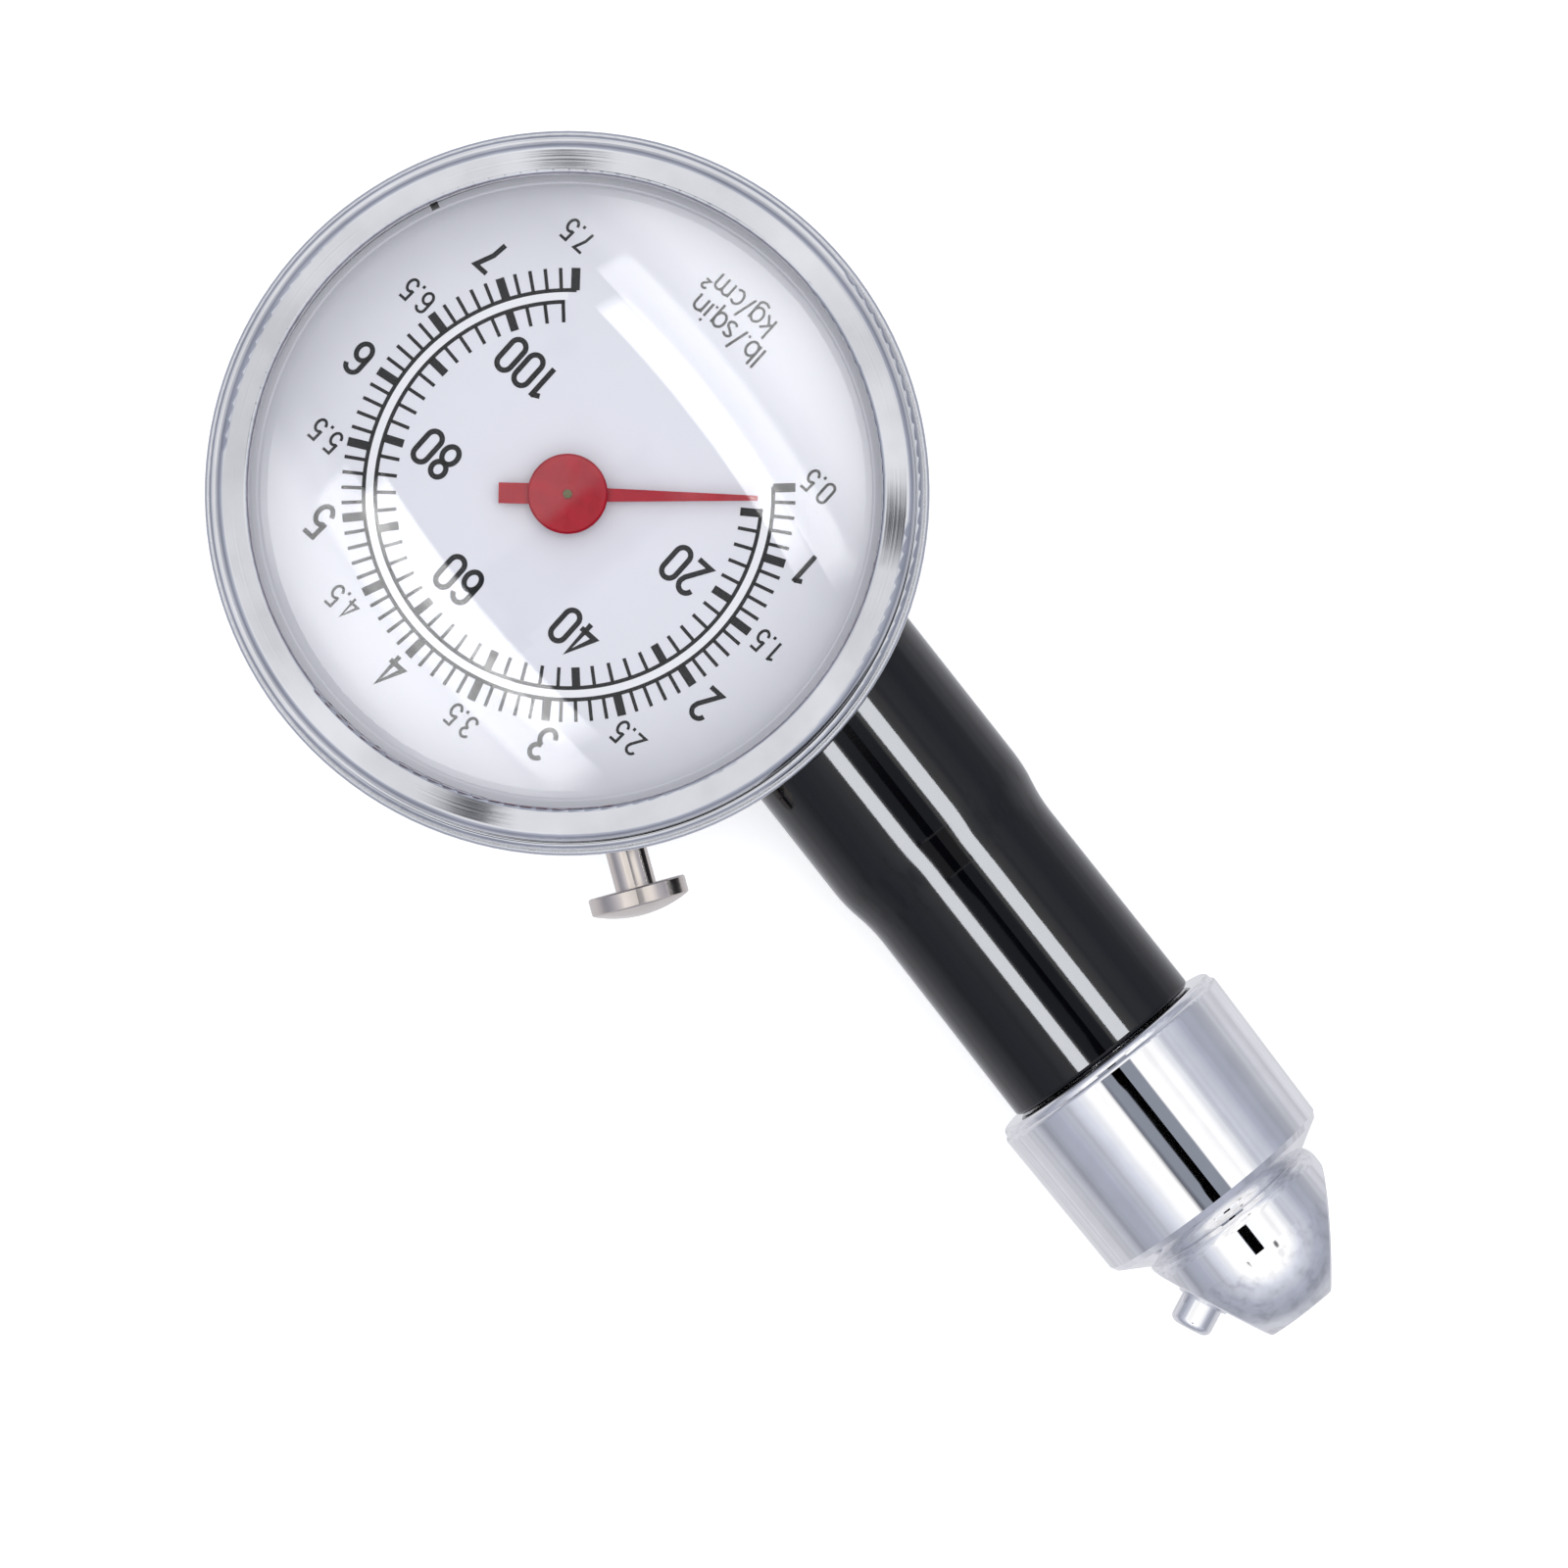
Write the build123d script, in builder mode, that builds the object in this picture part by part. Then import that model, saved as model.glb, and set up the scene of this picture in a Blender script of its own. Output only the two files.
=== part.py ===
from build123d import *
import math
import os

os.makedirs("parts", exist_ok=True)

# Dial tire pressure gauge, millimetres. The gauge lies on the back of its case.
# Origin: centre of the case back. +Z: out of the dial. +X: along the handle, towards the chuck.

# ---- driving dimensions -------------------------------------------------------------------

# case, bezel and window
CASE_R = 26.0
SHEET = 0.8
CASE_EDGE_R = 3.0
DIAL_Z = 16.2
FLANGE_Z = 19.0
FLANGE_R = 27.0
BEAD_DEPTH = 0.7
BEZEL_Z = FLANGE_Z + SHEET
BEZEL_LIP_R = 23.4
BEZEL_BAND_R = 25.2
BEZEL_SHOULDER_R = 25.95
BEZEL_STEP_R = 26.1
BEZEL_SKIRT_R = 26.6
BEZEL_TOP_Z = 23.6
BEZEL_EDGE_R = 0.35
BEZEL_BAND_DROP = 0.27
POCKET_R = 24.5
LENS_DOME_R = 56.0
LENS_T = 1.2
LENS_FLANGE_Z = BEZEL_TOP_Z - 1.0 - LENS_T
DIAL_R = 24.9
DIAL_T = 0.5
GASKET_IN_R = 23.98
GASKET_TAB_R = 23.1

# pointer
POINTER_REST = 50.6
POINTER_Z = 17.5
POINTER_T = 0.4
NEEDLE_L = 14.1
NEEDLE_ROOT_W = 1.17
NEEDLE_TIP_W = 0.37
TAIL_L = 5.15
TAIL_W = 1.54
HUB_R = 2.98

# handle, along X
HANDLE_Y = 5.86
AXIS_Z = 10.1
GRIP_R = 8.68
GRIP_NECK_R = 8.12
GRIP_END_R = 8.2
GRIP_STEP_X = 35.9
GRIP_NECK_X = 41.1
GRIP_END_X = 57.9
STEM_R = 4.0
STEM_BORE_R = 1.4
STEM_IN_X = 16.5
STEM_OUT_X = 62.5

# ferrule and chuck, along X
FERRULE_X0 = 58.0
FERRULE_X1 = 73.0
FERRULE_R = 10.06
FERRULE_END_R = 9.8
FERRULE_MOUTH_R = 7.35
CHUCK_R = 7.7
NOSE_START_X = 76.5
NOSE_X = 82.8
FLAT_EDGE_R = 0.45
SHANK_R = 5.0
SHANK_X = 67.0

# valve mouth, a flat on the chuck's side with a bore square to it
MOUTH_X = 78.77
MOUTH_T = 4.97
MOUTH_ANGLE = 54.2
MOUTH_R = 4.1
SEAL_DEPTH = 4.6
SEAL_T = 2.0
SEAL_R = 4.5
SEAL_HOLE_R = 2.3
DEPRESSOR_R = 0.8
DEPRESSOR_T = 1.2
DEPRESSOR_SPIDER_R = 2.4
PASSAGE_R = 1.5

# nib, on a flat on the other side
NIB_X = 77.5
NIB_T = -5.6
NIB_ANGLE = -66.2
NIB_R = 1.65
NIB_OUT = 2.6
NIB_IN = 2.0

# bleed valve, whose button stands out of the case wall
BUTTON_X = 26.2
BUTTON_Y = -14.39
BUTTON_ANGLE = -23.0
BUTTON_R = 3.8
BUTTON_T = 1.4
BUTTON_DOME = 0.8
BUTTON_STEM_R = 1.58
BUTTON_TRAVEL = 1.5
BUSH_OUT = -6.0
BUSH_IN = -9.5
VALVE_R = 2.5
CHAMBER_END = -13.9
RUN_CLEARANCE = 0.04

# movement: gear pair, plates and Bourdon tube
MODULE = 0.25
PINION_TEETH = 10
SECTOR_TEETH = 80
PIVOT_ANGLE = 120.0
GEAR_Z = 6.7
GEAR_T = 1.0
BACK_PLATE_Z = 2.2
FRONT_PLATE_Z = 12.4
PLATE_T = 0.8
PILLARS = [(4.5, -4.5), (-9.5, -3.0), (0.5, 12.2)]
PILLAR_R = 1.2
ARM_SCREWS = [(5.6, 0.6), (-4.0, -3.4)]
ARBOR_R = 0.6
ARBOR_PIVOT_R = 0.45
ARBOR_TIP_R = 0.34
SECTOR_ARBOR_R = 0.8
TAIL_ARM = 3.6
TAIL_ANGLE = 103.0
LINK_Z = 11.5
LINK_T = 0.5
BOURDON_R = 18.6
BOURDON_W = 1.6
BOURDON_H = 7.0
BOURDON_WALL = 0.35
BOURDON_Z = 7.5
BOURDON_ROOT = -46.0
BOURDON_TIP = 75.0
SOCKET_R = 22.9
SOCKET_TOP = 15.0
SOCKET_SCREWS = [(19.5, 10.9), (13.2, -16.4)]
SOCKET_SCREW_R = 1.25
HAIRSPRING_Z = 10.0
HAIRSPRING_IN_R = 1.7
HAIRSPRING_STEP = 0.36
HAIRSPRING_HALF_TURNS = 8
PIN_R = 0.5
PIN_HEAD_R = 0.85
SMALL_SCREW_R = 0.58
SMALL_HEAD_R = 1.1
SMALL_HEAD_T = 0.7

# ---- places worked out from them ----------------------------------------------------------

WALL_IN_R = CASE_R - SHEET
CENTRE_DISTANCE = MODULE * (PINION_TEETH + SECTOR_TEETH) / 2
PINION_R = MODULE * PINION_TEETH / 2
SECTOR_R = MODULE * SECTOR_TEETH / 2


def polar(radius, angle, centre=(0, 0)):
    """A point at a radius and an angle in degrees from a centre, in plan."""
    return (
        centre[0] + radius * math.cos(math.radians(angle)),
        centre[1] + radius * math.sin(math.radians(angle)),
    )


def along(x, y, angle):
    """A plane through a point at the handle's height: its X runs at an angle in plan, its Y is up."""
    direction = Vector(*polar(1, angle), 0)
    return Plane(origin=(x, y, AXIS_Z), x_dir=direction, z_dir=direction.cross(Vector(0, 0, 1)))


def line_of(plane):
    """The axis that a plane's X runs along."""
    return Axis(plane.origin, plane.x_dir)


def across(plane, distance=0):
    """The plane square to another plane's X, at a distance along that X."""
    return Plane(plane.origin, z_dir=plane.x_dir).offset(distance)


SECTOR_PIVOT = polar(CENTRE_DISTANCE, PIVOT_ANGLE)
TAIL_PIN = polar(TAIL_ARM, TAIL_ANGLE, SECTOR_PIVOT)
TIP_PIN = polar(BOURDON_R, BOURDON_TIP + 2.5)
HANDLE = along(0, HANDLE_Y, 0)
MOUTH = along(MOUTH_X, HANDLE_Y + MOUTH_T, MOUTH_ANGLE)
NIB = along(NIB_X, HANDLE_Y + NIB_T, NIB_ANGLE)
BUTTON = along(BUTTON_X, BUTTON_Y, BUTTON_ANGLE)
CROSS_SECTION = Plane.XZ
SEAL_BOTTOM = SEAL_DEPTH + SEAL_T

# ---- case, bezel and window ---------------------------------------------------------------

# Drawn steel cup: rounded back edge, a bead that makes the shelf for the dial, a turned-out rim.
with BuildPart() as case_cup:
    with BuildSketch(CROSS_SECTION):
        with BuildLine():
            Line((0, 0), (CASE_R - CASE_EDGE_R, 0))
            RadiusArc((CASE_R - CASE_EDGE_R, 0), (CASE_R, CASE_EDGE_R), -CASE_EDGE_R)
            Polyline(
                (CASE_R, CASE_EDGE_R),
                (CASE_R, DIAL_Z - 1.9),
                (CASE_R - BEAD_DEPTH, DIAL_Z - 1.3),
                (CASE_R - BEAD_DEPTH, DIAL_Z - 0.7),
                (CASE_R, DIAL_Z - 0.1),
                (CASE_R, FLANGE_Z),
                (FLANGE_R, FLANGE_Z),
                (FLANGE_R, BEZEL_Z),
                (WALL_IN_R, BEZEL_Z),
                (WALL_IN_R, DIAL_Z),
                (WALL_IN_R - SHEET, DIAL_Z),
                (WALL_IN_R - SHEET, DIAL_Z - 1.3),
                (WALL_IN_R, DIAL_Z - 2.1),
                (WALL_IN_R, CASE_EDGE_R),
            )
            RadiusArc((WALL_IN_R, CASE_EDGE_R), (CASE_R - CASE_EDGE_R, SHEET), CASE_EDGE_R - SHEET)
            Polyline((CASE_R - CASE_EDGE_R, SHEET), (0, SHEET), (0, 0))
        make_face()
    revolve(axis=Axis.Z)
    flange_edges = case_cup.edges().filter_by(GeomType.CIRCLE).group_by(lambda edge: edge.radius)[-1]
    fillet(flange_edges, radius=0.3)
    # holes for the inlet stem and the bleed button's stem
    with BuildSketch(across(HANDLE, CASE_R - 4)):
        Circle(STEM_R + 0.15)
    extrude(amount=8, mode=Mode.SUBTRACT)
    with BuildSketch(across(BUTTON)):
        Circle(BUTTON_STEM_R + 0.2)
    extrude(amount=-6, mode=Mode.SUBTRACT)
    # countersunk holes for the socket screws
    with Locations(*[Location((x, y, 0), (180, 0, 0)) for x, y in SOCKET_SCREWS]):
        CounterSinkHole(SOCKET_SCREW_R + 0.1, 2.2, depth=4)
case_cup.part.label = "case_cup"
export_step(case_cup.part, "parts/case_cup.step")

# Plated bezel: a broad band, then a stepped outer shoulder, and a spigot that fits in the case.
SPIGOT_IN_R = POCKET_R + 0.02
SPIGOT_OUT_R = WALL_IN_R - 0.03
SPIGOT_Z = DIAL_Z + DIAL_T + 0.1
STEP_Z = BEZEL_TOP_Z - 1.5
SEAT_Z = LENS_FLANGE_Z + LENS_T + 0.02
with BuildPart() as bezel_ring:
    with BuildSketch(CROSS_SECTION):
        with BuildLine():
            Polyline(
                (SPIGOT_IN_R, SPIGOT_Z),
                (SPIGOT_OUT_R, SPIGOT_Z),
                (SPIGOT_OUT_R, BEZEL_Z),
                (BEZEL_SKIRT_R - 0.1, BEZEL_Z),
                (BEZEL_SKIRT_R, BEZEL_Z + 0.6),
                (BEZEL_SKIRT_R - 0.1, STEP_Z - 0.4),
            )
            RadiusArc((BEZEL_SKIRT_R - 0.1, STEP_Z - 0.4), (BEZEL_STEP_R, STEP_Z), -0.4)
            Polyline(
                (BEZEL_STEP_R, STEP_Z),
                (BEZEL_SHOULDER_R, STEP_Z),
                (BEZEL_SHOULDER_R - 0.05, STEP_Z + 0.6),
            )
            RadiusArc(
                (BEZEL_SHOULDER_R - 0.05, STEP_Z + 0.6),
                (BEZEL_BAND_R, BEZEL_TOP_Z - BEZEL_BAND_DROP),
                -0.8,
            )
            Line((BEZEL_BAND_R, BEZEL_TOP_Z - BEZEL_BAND_DROP), (BEZEL_LIP_R + BEZEL_EDGE_R, BEZEL_TOP_Z))
            RadiusArc(
                (BEZEL_LIP_R + BEZEL_EDGE_R, BEZEL_TOP_Z),
                (BEZEL_LIP_R, BEZEL_TOP_Z - BEZEL_EDGE_R),
                -BEZEL_EDGE_R,
            )
            Polyline(
                (BEZEL_LIP_R, BEZEL_TOP_Z - BEZEL_EDGE_R),
                (BEZEL_LIP_R, SEAT_Z),
                (SPIGOT_IN_R, SEAT_Z),
                (SPIGOT_IN_R, SPIGOT_Z),
            )
        make_face()
    revolve(axis=Axis.Z)
bezel_ring.part.label = "bezel_ring"
export_step(bezel_ring.part, "parts/bezel_ring.step")

# Clear window: a flat flange under the bezel's lip and a dome of one radius.
DOME_FOOT_R = BEZEL_LIP_R - 0.5
LENS_TOP_Z = LENS_FLANGE_Z + LENS_T
DOME_CENTRE_Z = LENS_TOP_Z - math.sqrt(LENS_DOME_R**2 - DOME_FOOT_R**2)
DOME_IN_R = LENS_DOME_R - LENS_T
DOME_IN_FOOT_R = math.sqrt(DOME_IN_R**2 - (LENS_FLANGE_Z - DOME_CENTRE_Z) ** 2)
with BuildPart() as lens:
    with BuildSketch(CROSS_SECTION):
        with BuildLine():
            Line((0, DOME_CENTRE_Z + DOME_IN_R), (0, DOME_CENTRE_Z + LENS_DOME_R))
            RadiusArc((0, DOME_CENTRE_Z + LENS_DOME_R), (DOME_FOOT_R, LENS_TOP_Z), LENS_DOME_R)
            Polyline(
                (DOME_FOOT_R, LENS_TOP_Z),
                (POCKET_R - 0.1, LENS_TOP_Z),
                (POCKET_R - 0.1, LENS_FLANGE_Z),
                (DOME_IN_FOOT_R, LENS_FLANGE_Z),
            )
            RadiusArc((DOME_IN_FOOT_R, LENS_FLANGE_Z), (0, DOME_CENTRE_Z + DOME_IN_R), -DOME_IN_R)
        make_face()
    revolve(axis=Axis.Z)
lens.part.label = "lens"
export_step(lens.part, "parts/lens.step")

# Rubber gasket between the dial and the window, with one small tab at its upper edge that shows.
GASKET_TAB_ANGLE = 166.5
with BuildPart() as lens_gasket:
    with BuildSketch(Plane.XY.offset(DIAL_Z + DIAL_T)):
        Circle(POCKET_R - 0.05)
        Circle(GASKET_IN_R, mode=Mode.SUBTRACT)
    extrude(amount=LENS_FLANGE_Z - DIAL_Z - DIAL_T - 0.02)
    with BuildSketch(Plane.XY.offset(LENS_FLANGE_Z - 0.6)):
        tab_middle = polar((GASKET_TAB_R + GASKET_IN_R + 0.1) / 2, GASKET_TAB_ANGLE)
        with Locations(Location((*tab_middle, 0), GASKET_TAB_ANGLE)):
            Rectangle(GASKET_IN_R + 0.1 - GASKET_TAB_R, 0.6)
    extrude(amount=0.58)
lens_gasket.part.label = "lens_gasket"
export_step(lens_gasket.part, "parts/lens_gasket.step")

# Dial plate, resting on the case's shelf.
with BuildPart() as dial_plate:
    with BuildSketch(Plane.XY.offset(DIAL_Z)):
        Circle(DIAL_R)
        Circle(1.6, mode=Mode.SUBTRACT)
    extrude(amount=DIAL_T)
dial_plate.part.label = "dial_plate"
export_step(dial_plate.part, "parts/dial_plate.step")

# ---- pointer ------------------------------------------------------------------------------

POINTER_PLANE = Plane.XY.offset(POINTER_Z).rotated((0, 0, POINTER_REST))
with BuildPart() as pointer:
    with BuildSketch(POINTER_PLANE):
        with BuildLine():
            Polyline(
                (0, NEEDLE_ROOT_W / 2),
                (NEEDLE_L, NEEDLE_TIP_W / 2),
                (NEEDLE_L, -NEEDLE_TIP_W / 2),
                (0, -NEEDLE_ROOT_W / 2),
                close=True,
            )
        make_face()
        with Locations((-TAIL_L / 2, 0)):
            Rectangle(TAIL_L, TAIL_W)
        Circle(HUB_R - 0.3)
        Circle(ARBOR_R, mode=Mode.SUBTRACT)
    extrude(amount=POINTER_T)
pointer.part.label = "pointer"
export_step(pointer.part, "parts/pointer.step")

# Dished hub disc with a bush that holds the pointer on the arbor.
HUB_Z = POINTER_Z + POINTER_T + 0.02
ARBOR_TOP_Z = HUB_Z + 0.6
with BuildPart() as pointer_hub:
    with BuildSketch(CROSS_SECTION):
        with BuildLine():
            Polyline(
                (ARBOR_TIP_R + 0.01, HUB_Z),
                (HUB_R - 0.1, HUB_Z),
                (HUB_R, HUB_Z + 0.1),
                (HUB_R, HUB_Z + 0.55),
                (HUB_R - 0.15, HUB_Z + 0.7),
                (HUB_R - 0.35, HUB_Z + 0.7),
                (ARBOR_TIP_R + 0.4, HUB_Z + 0.35),
                (ARBOR_TIP_R + 0.01, HUB_Z + 0.35),
                close=True,
            )
        make_face()
    revolve(axis=Axis.Z)
pointer_hub.part.label = "pointer_hub"
export_step(pointer_hub.part, "parts/pointer_hub.step")

# ---- gear pair ----------------------------------------------------------------------------


def add_teeth(pitch_r, root_r, tip_r, angles, widths, centre=(0, 0)):
    """Adds straight-sided teeth to the sketch: widths are at the root, the pitch line and the tip."""
    for angle in angles:
        rows = list(zip((root_r - 0.15, pitch_r, tip_r), widths))
        left = [polar(r, angle + math.degrees(w / 2 / r), centre) for r, w in rows]
        right = [polar(r, angle - math.degrees(w / 2 / r), centre) for r, w in reversed(rows)]
        Polygon(*left, *right, align=None)


PINION_ROOT_R = PINION_R - 0.33
PINION_ANGLES = [PIVOT_ANGLE + 360 / PINION_TEETH * (n + 0.5) for n in range(PINION_TEETH)]
with BuildPart() as pinion_arbor:
    # the arbor runs from the back plate, through the front plate and the dial, to the hub
    with BuildSketch(CROSS_SECTION):
        with BuildLine():
            Polyline(
                (0, BACK_PLATE_Z + 0.1),
                (ARBOR_PIVOT_R, BACK_PLATE_Z + 0.1),
                (ARBOR_PIVOT_R, BACK_PLATE_Z + PLATE_T + 0.1),
                (ARBOR_R, BACK_PLATE_Z + PLATE_T + 0.1),
                (ARBOR_R, POINTER_Z),
                (ARBOR_R - 0.02, HUB_Z - 0.02),
                (ARBOR_TIP_R, HUB_Z - 0.02),
                (ARBOR_TIP_R, ARBOR_TOP_Z),
                (0, ARBOR_TOP_Z + 0.1),
                close=True,
            )
        make_face()
    revolve(axis=Axis.Z)
    with BuildSketch(Plane.XY.offset(GEAR_Z - 0.5)):
        Circle(PINION_ROOT_R)
        add_teeth(PINION_R, PINION_ROOT_R, PINION_R + 0.22, PINION_ANGLES, (0.34, 0.29, 0.12))
    extrude(amount=GEAR_T + 1.0)
pinion_arbor.part.label = "pinion_arbor"
export_step(pinion_arbor.part, "parts/pinion_arbor.step")

# Sector gear: eleven teeth on a cut-out plate, with a tail for the link on the far side.
TOOTH_STEP = 360 / SECTOR_TEETH
CONTACT_ANGLE = PIVOT_ANGLE - 180
SECTOR_ANGLES = [CONTACT_ANGLE + TOOTH_STEP * n for n in range(-9, 2)]
SECTOR_ROOT_R = SECTOR_R - 0.32
SECTOR_SPAN = TOOTH_STEP * 11
SECTOR_START = SECTOR_ANGLES[0] - TOOTH_STEP / 2
SECTOR_END = SECTOR_START + SECTOR_SPAN
RIM_IN_R = SECTOR_ROOT_R - 1.6
WINDOW_IN_R = 4.0
RIM_MARGIN = 10
ROOT_MARGIN = 14
with BuildPart() as sector_gear:
    with BuildSketch(Plane.XY.offset(GEAR_Z)):
        # plate
        with BuildLine():
            CenterArc(SECTOR_PIVOT, SECTOR_ROOT_R, SECTOR_START, SECTOR_SPAN)
            Line(polar(SECTOR_ROOT_R, SECTOR_START, SECTOR_PIVOT), SECTOR_PIVOT)
            Line(polar(SECTOR_ROOT_R, SECTOR_END, SECTOR_PIVOT), SECTOR_PIVOT)
        make_face()
        with Locations(SECTOR_PIVOT):
            Circle(2.0)
        # window in the plate
        with BuildLine(mode=Mode.PRIVATE) as window_outline:
            CenterArc(SECTOR_PIVOT, RIM_IN_R, SECTOR_START + RIM_MARGIN, SECTOR_SPAN - 2 * RIM_MARGIN)
            CenterArc(SECTOR_PIVOT, WINDOW_IN_R, SECTOR_START + ROOT_MARGIN, SECTOR_SPAN - 2 * ROOT_MARGIN)
            Line(
                polar(RIM_IN_R, SECTOR_START + RIM_MARGIN, SECTOR_PIVOT),
                polar(WINDOW_IN_R, SECTOR_START + ROOT_MARGIN, SECTOR_PIVOT),
            )
            Line(
                polar(RIM_IN_R, SECTOR_END - RIM_MARGIN, SECTOR_PIVOT),
                polar(WINDOW_IN_R, SECTOR_END - ROOT_MARGIN, SECTOR_PIVOT),
            )
        make_face(window_outline.edges(), mode=Mode.SUBTRACT)
        add_teeth(SECTOR_R, SECTOR_ROOT_R, SECTOR_R + 0.2, SECTOR_ANGLES, (0.44, 0.31, 0.15), SECTOR_PIVOT)
        # tail
        with Locations(Location((*polar(TAIL_ARM / 2, TAIL_ANGLE, SECTOR_PIVOT), 0), TAIL_ANGLE)):
            SlotCenterToCenter(TAIL_ARM, 2.0)
        with Locations(SECTOR_PIVOT):
            Circle(SECTOR_ARBOR_R, mode=Mode.SUBTRACT)
        with Locations(TAIL_PIN):
            Circle(PIN_R, mode=Mode.SUBTRACT)
    extrude(amount=GEAR_T)
sector_gear.part.label = "sector_gear"
export_step(sector_gear.part, "parts/sector_gear.step")

with BuildPart() as sector_arbor:
    with BuildSketch(Plane.XY.offset(BACK_PLATE_Z + 0.1)):
        with Locations(SECTOR_PIVOT):
            Circle(SECTOR_ARBOR_R)
    extrude(amount=FRONT_PLATE_Z + PLATE_T - BACK_PLATE_Z - 0.2)
    # collar under the sector
    with BuildSketch(Plane.XY.offset(GEAR_Z - 1.4)):
        with Locations(SECTOR_PIVOT):
            Circle(1.5)
    extrude(amount=1.4)
sector_arbor.part.label = "sector_arbor"
export_step(sector_arbor.part, "parts/sector_arbor.step")

# Pin that stands up from the tail and carries the link between a collar and a head.
with BuildPart() as tail_pin:
    with BuildSketch(Plane.XY.offset(GEAR_Z)):
        with Locations(TAIL_PIN):
            Circle(PIN_R)
    extrude(amount=LINK_Z + LINK_T + 0.3 - GEAR_Z)
    for z, height in ((LINK_Z - 0.4, 0.35), (LINK_Z + LINK_T + 0.05, 0.25)):
        with BuildSketch(Plane.XY.offset(z)):
            with Locations(TAIL_PIN):
                Circle(PIN_HEAD_R)
        extrude(amount=height)
tail_pin.part.label = "tail_pin"
export_step(tail_pin.part, "parts/tail_pin.step")

# ---- link to the Bourdon tube's tip -------------------------------------------------------

LINK_LENGTH = math.dist(TAIL_PIN, TIP_PIN)
LINK_ANGLE = math.degrees(math.atan2(TIP_PIN[1] - TAIL_PIN[1], TIP_PIN[0] - TAIL_PIN[0]))
with BuildPart() as link:
    with BuildSketch(Plane.XY.offset(LINK_Z)):
        with Locations(Location((*polar(LINK_LENGTH / 2, LINK_ANGLE, TAIL_PIN), 0), LINK_ANGLE)):
            SlotCenterToCenter(LINK_LENGTH, 1.7)
        with Locations(TAIL_PIN):
            Circle(PIN_R + RUN_CLEARANCE, mode=Mode.SUBTRACT)
        with Locations(TIP_PIN):
            Circle(PIN_R, mode=Mode.SUBTRACT)
    extrude(amount=LINK_T)
link.part.label = "link"
export_step(link.part, "parts/link.step")

with BuildPart() as link_tip_pin:
    with BuildSketch(Plane.XY.offset(LINK_Z - 0.2)):
        with Locations(TIP_PIN):
            Circle(PIN_R)
    extrude(amount=LINK_T + 0.2)
    with BuildSketch(Plane.XY.offset(LINK_Z + LINK_T)):
        with Locations(TIP_PIN):
            Circle(PIN_HEAD_R)
    extrude(amount=0.3)
link_tip_pin.part.label = "link_tip_pin"
export_step(link_tip_pin.part, "parts/link_tip_pin.step")

# ---- Bourdon tube and its socket ----------------------------------------------------------

# Flattened tube bent to a C: it leaves the socket and goes clockwise round to its tip.
BOURDON_SPAN = 360 - (BOURDON_TIP - BOURDON_ROOT)
TIP_START = Plane.XZ.rotated((0, 0, BOURDON_TIP))
with BuildPart() as bourdon_tube:
    with BuildSketch(TIP_START):
        with Locations((BOURDON_R, BOURDON_Z)):
            SlotOverall(BOURDON_H, BOURDON_W, rotation=90)
            SlotOverall(
                BOURDON_H - 2 * BOURDON_WALL,
                BOURDON_W - 2 * BOURDON_WALL,
                rotation=90,
                mode=Mode.SUBTRACT,
            )
    revolve(axis=Axis.Z, revolution_arc=BOURDON_SPAN)
bourdon_tube.part.label = "bourdon_tube"
export_step(bourdon_tube.part, "parts/bourdon_tube.step")

# Plug brazed on the open end, with a flat top under the link.
with BuildPart() as tip_block:
    with BuildSketch(Plane.XZ.rotated((0, 0, BOURDON_TIP))):
        with Locations((BOURDON_R, BOURDON_Z)):
            Rectangle(BOURDON_W + 0.8, BOURDON_H)
    revolve(axis=Axis.Z, revolution_arc=-5.5)
tip_block.part.label = "tip_block"
export_step(tip_block.part, "parts/tip_block.step")

# Brass block that takes the inlet stem, the Bourdon tube's root and the bleed valve; its thin arm
# carries the movement.
with BuildPart() as socket_block:
    with BuildSketch(Plane.XY.offset(SHEET)):
        with BuildLine():
            Polyline(
                (14.0, 13.0),
                (26.0, 13.0),
                (26.0, -19.0),
                (9.5, -19.0),
                (9.5, -6.0),
                (14.0, -6.0),
                close=True,
            )
        make_face()
        Circle(SOCKET_R, mode=Mode.INTERSECT)
    extrude(amount=SOCKET_TOP - SHEET)
    with BuildSketch(Plane.XY.offset(SHEET)):
        with BuildLine():
            Polyline((15.0, 4.5), (-4.6, -1.0), (-6.5, -5.0), (-3.0, -6.6), (15.0, -4.5), close=True)
        make_face()
        fillet(vertices().sort_by(Axis.X)[:3], radius=0.8)
    extrude(amount=BACK_PLATE_Z - SHEET - 0.02)
    # inlet counterbore for the stem
    with BuildSketch(across(HANDLE, STEM_IN_X)):
        Circle(STEM_R)
    extrude(amount=12, mode=Mode.SUBTRACT)
    # bleed valve chamber
    with BuildSketch(across(BUTTON, CHAMBER_END)):
        Circle(VALVE_R)
    extrude(amount=12, mode=Mode.SUBTRACT)
    # gallery from the inlet to the valve and on to the tube's root
    with BuildSketch(Plane((STEM_IN_X + 1.0, HANDLE_Y, AXIS_Z), z_dir=(0, -1, 0))):
        Circle(0.9)
    extrude(amount=15, mode=Mode.SUBTRACT)
    # slot for the tube's root
    with BuildSketch(Plane.XZ.rotated((0, 0, BOURDON_ROOT))):
        with Locations((BOURDON_R, BOURDON_Z)):
            SlotOverall(BOURDON_H, BOURDON_W, rotation=90)
    revolve(axis=Axis.Z, revolution_arc=-24, mode=Mode.SUBTRACT)
    with Locations(*[Location((x, y, SHEET), (180, 0, 0)) for x, y in SOCKET_SCREWS]):
        Hole(SOCKET_SCREW_R, depth=5.0)
    with Locations(*[Location((x, y, BACK_PLATE_Z), (0, 0, 0)) for x, y in ARM_SCREWS]):
        Hole(0.6, depth=1.2)
socket_block.part.label = "socket_block"
export_step(socket_block.part, "parts/socket_block.step")

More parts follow.
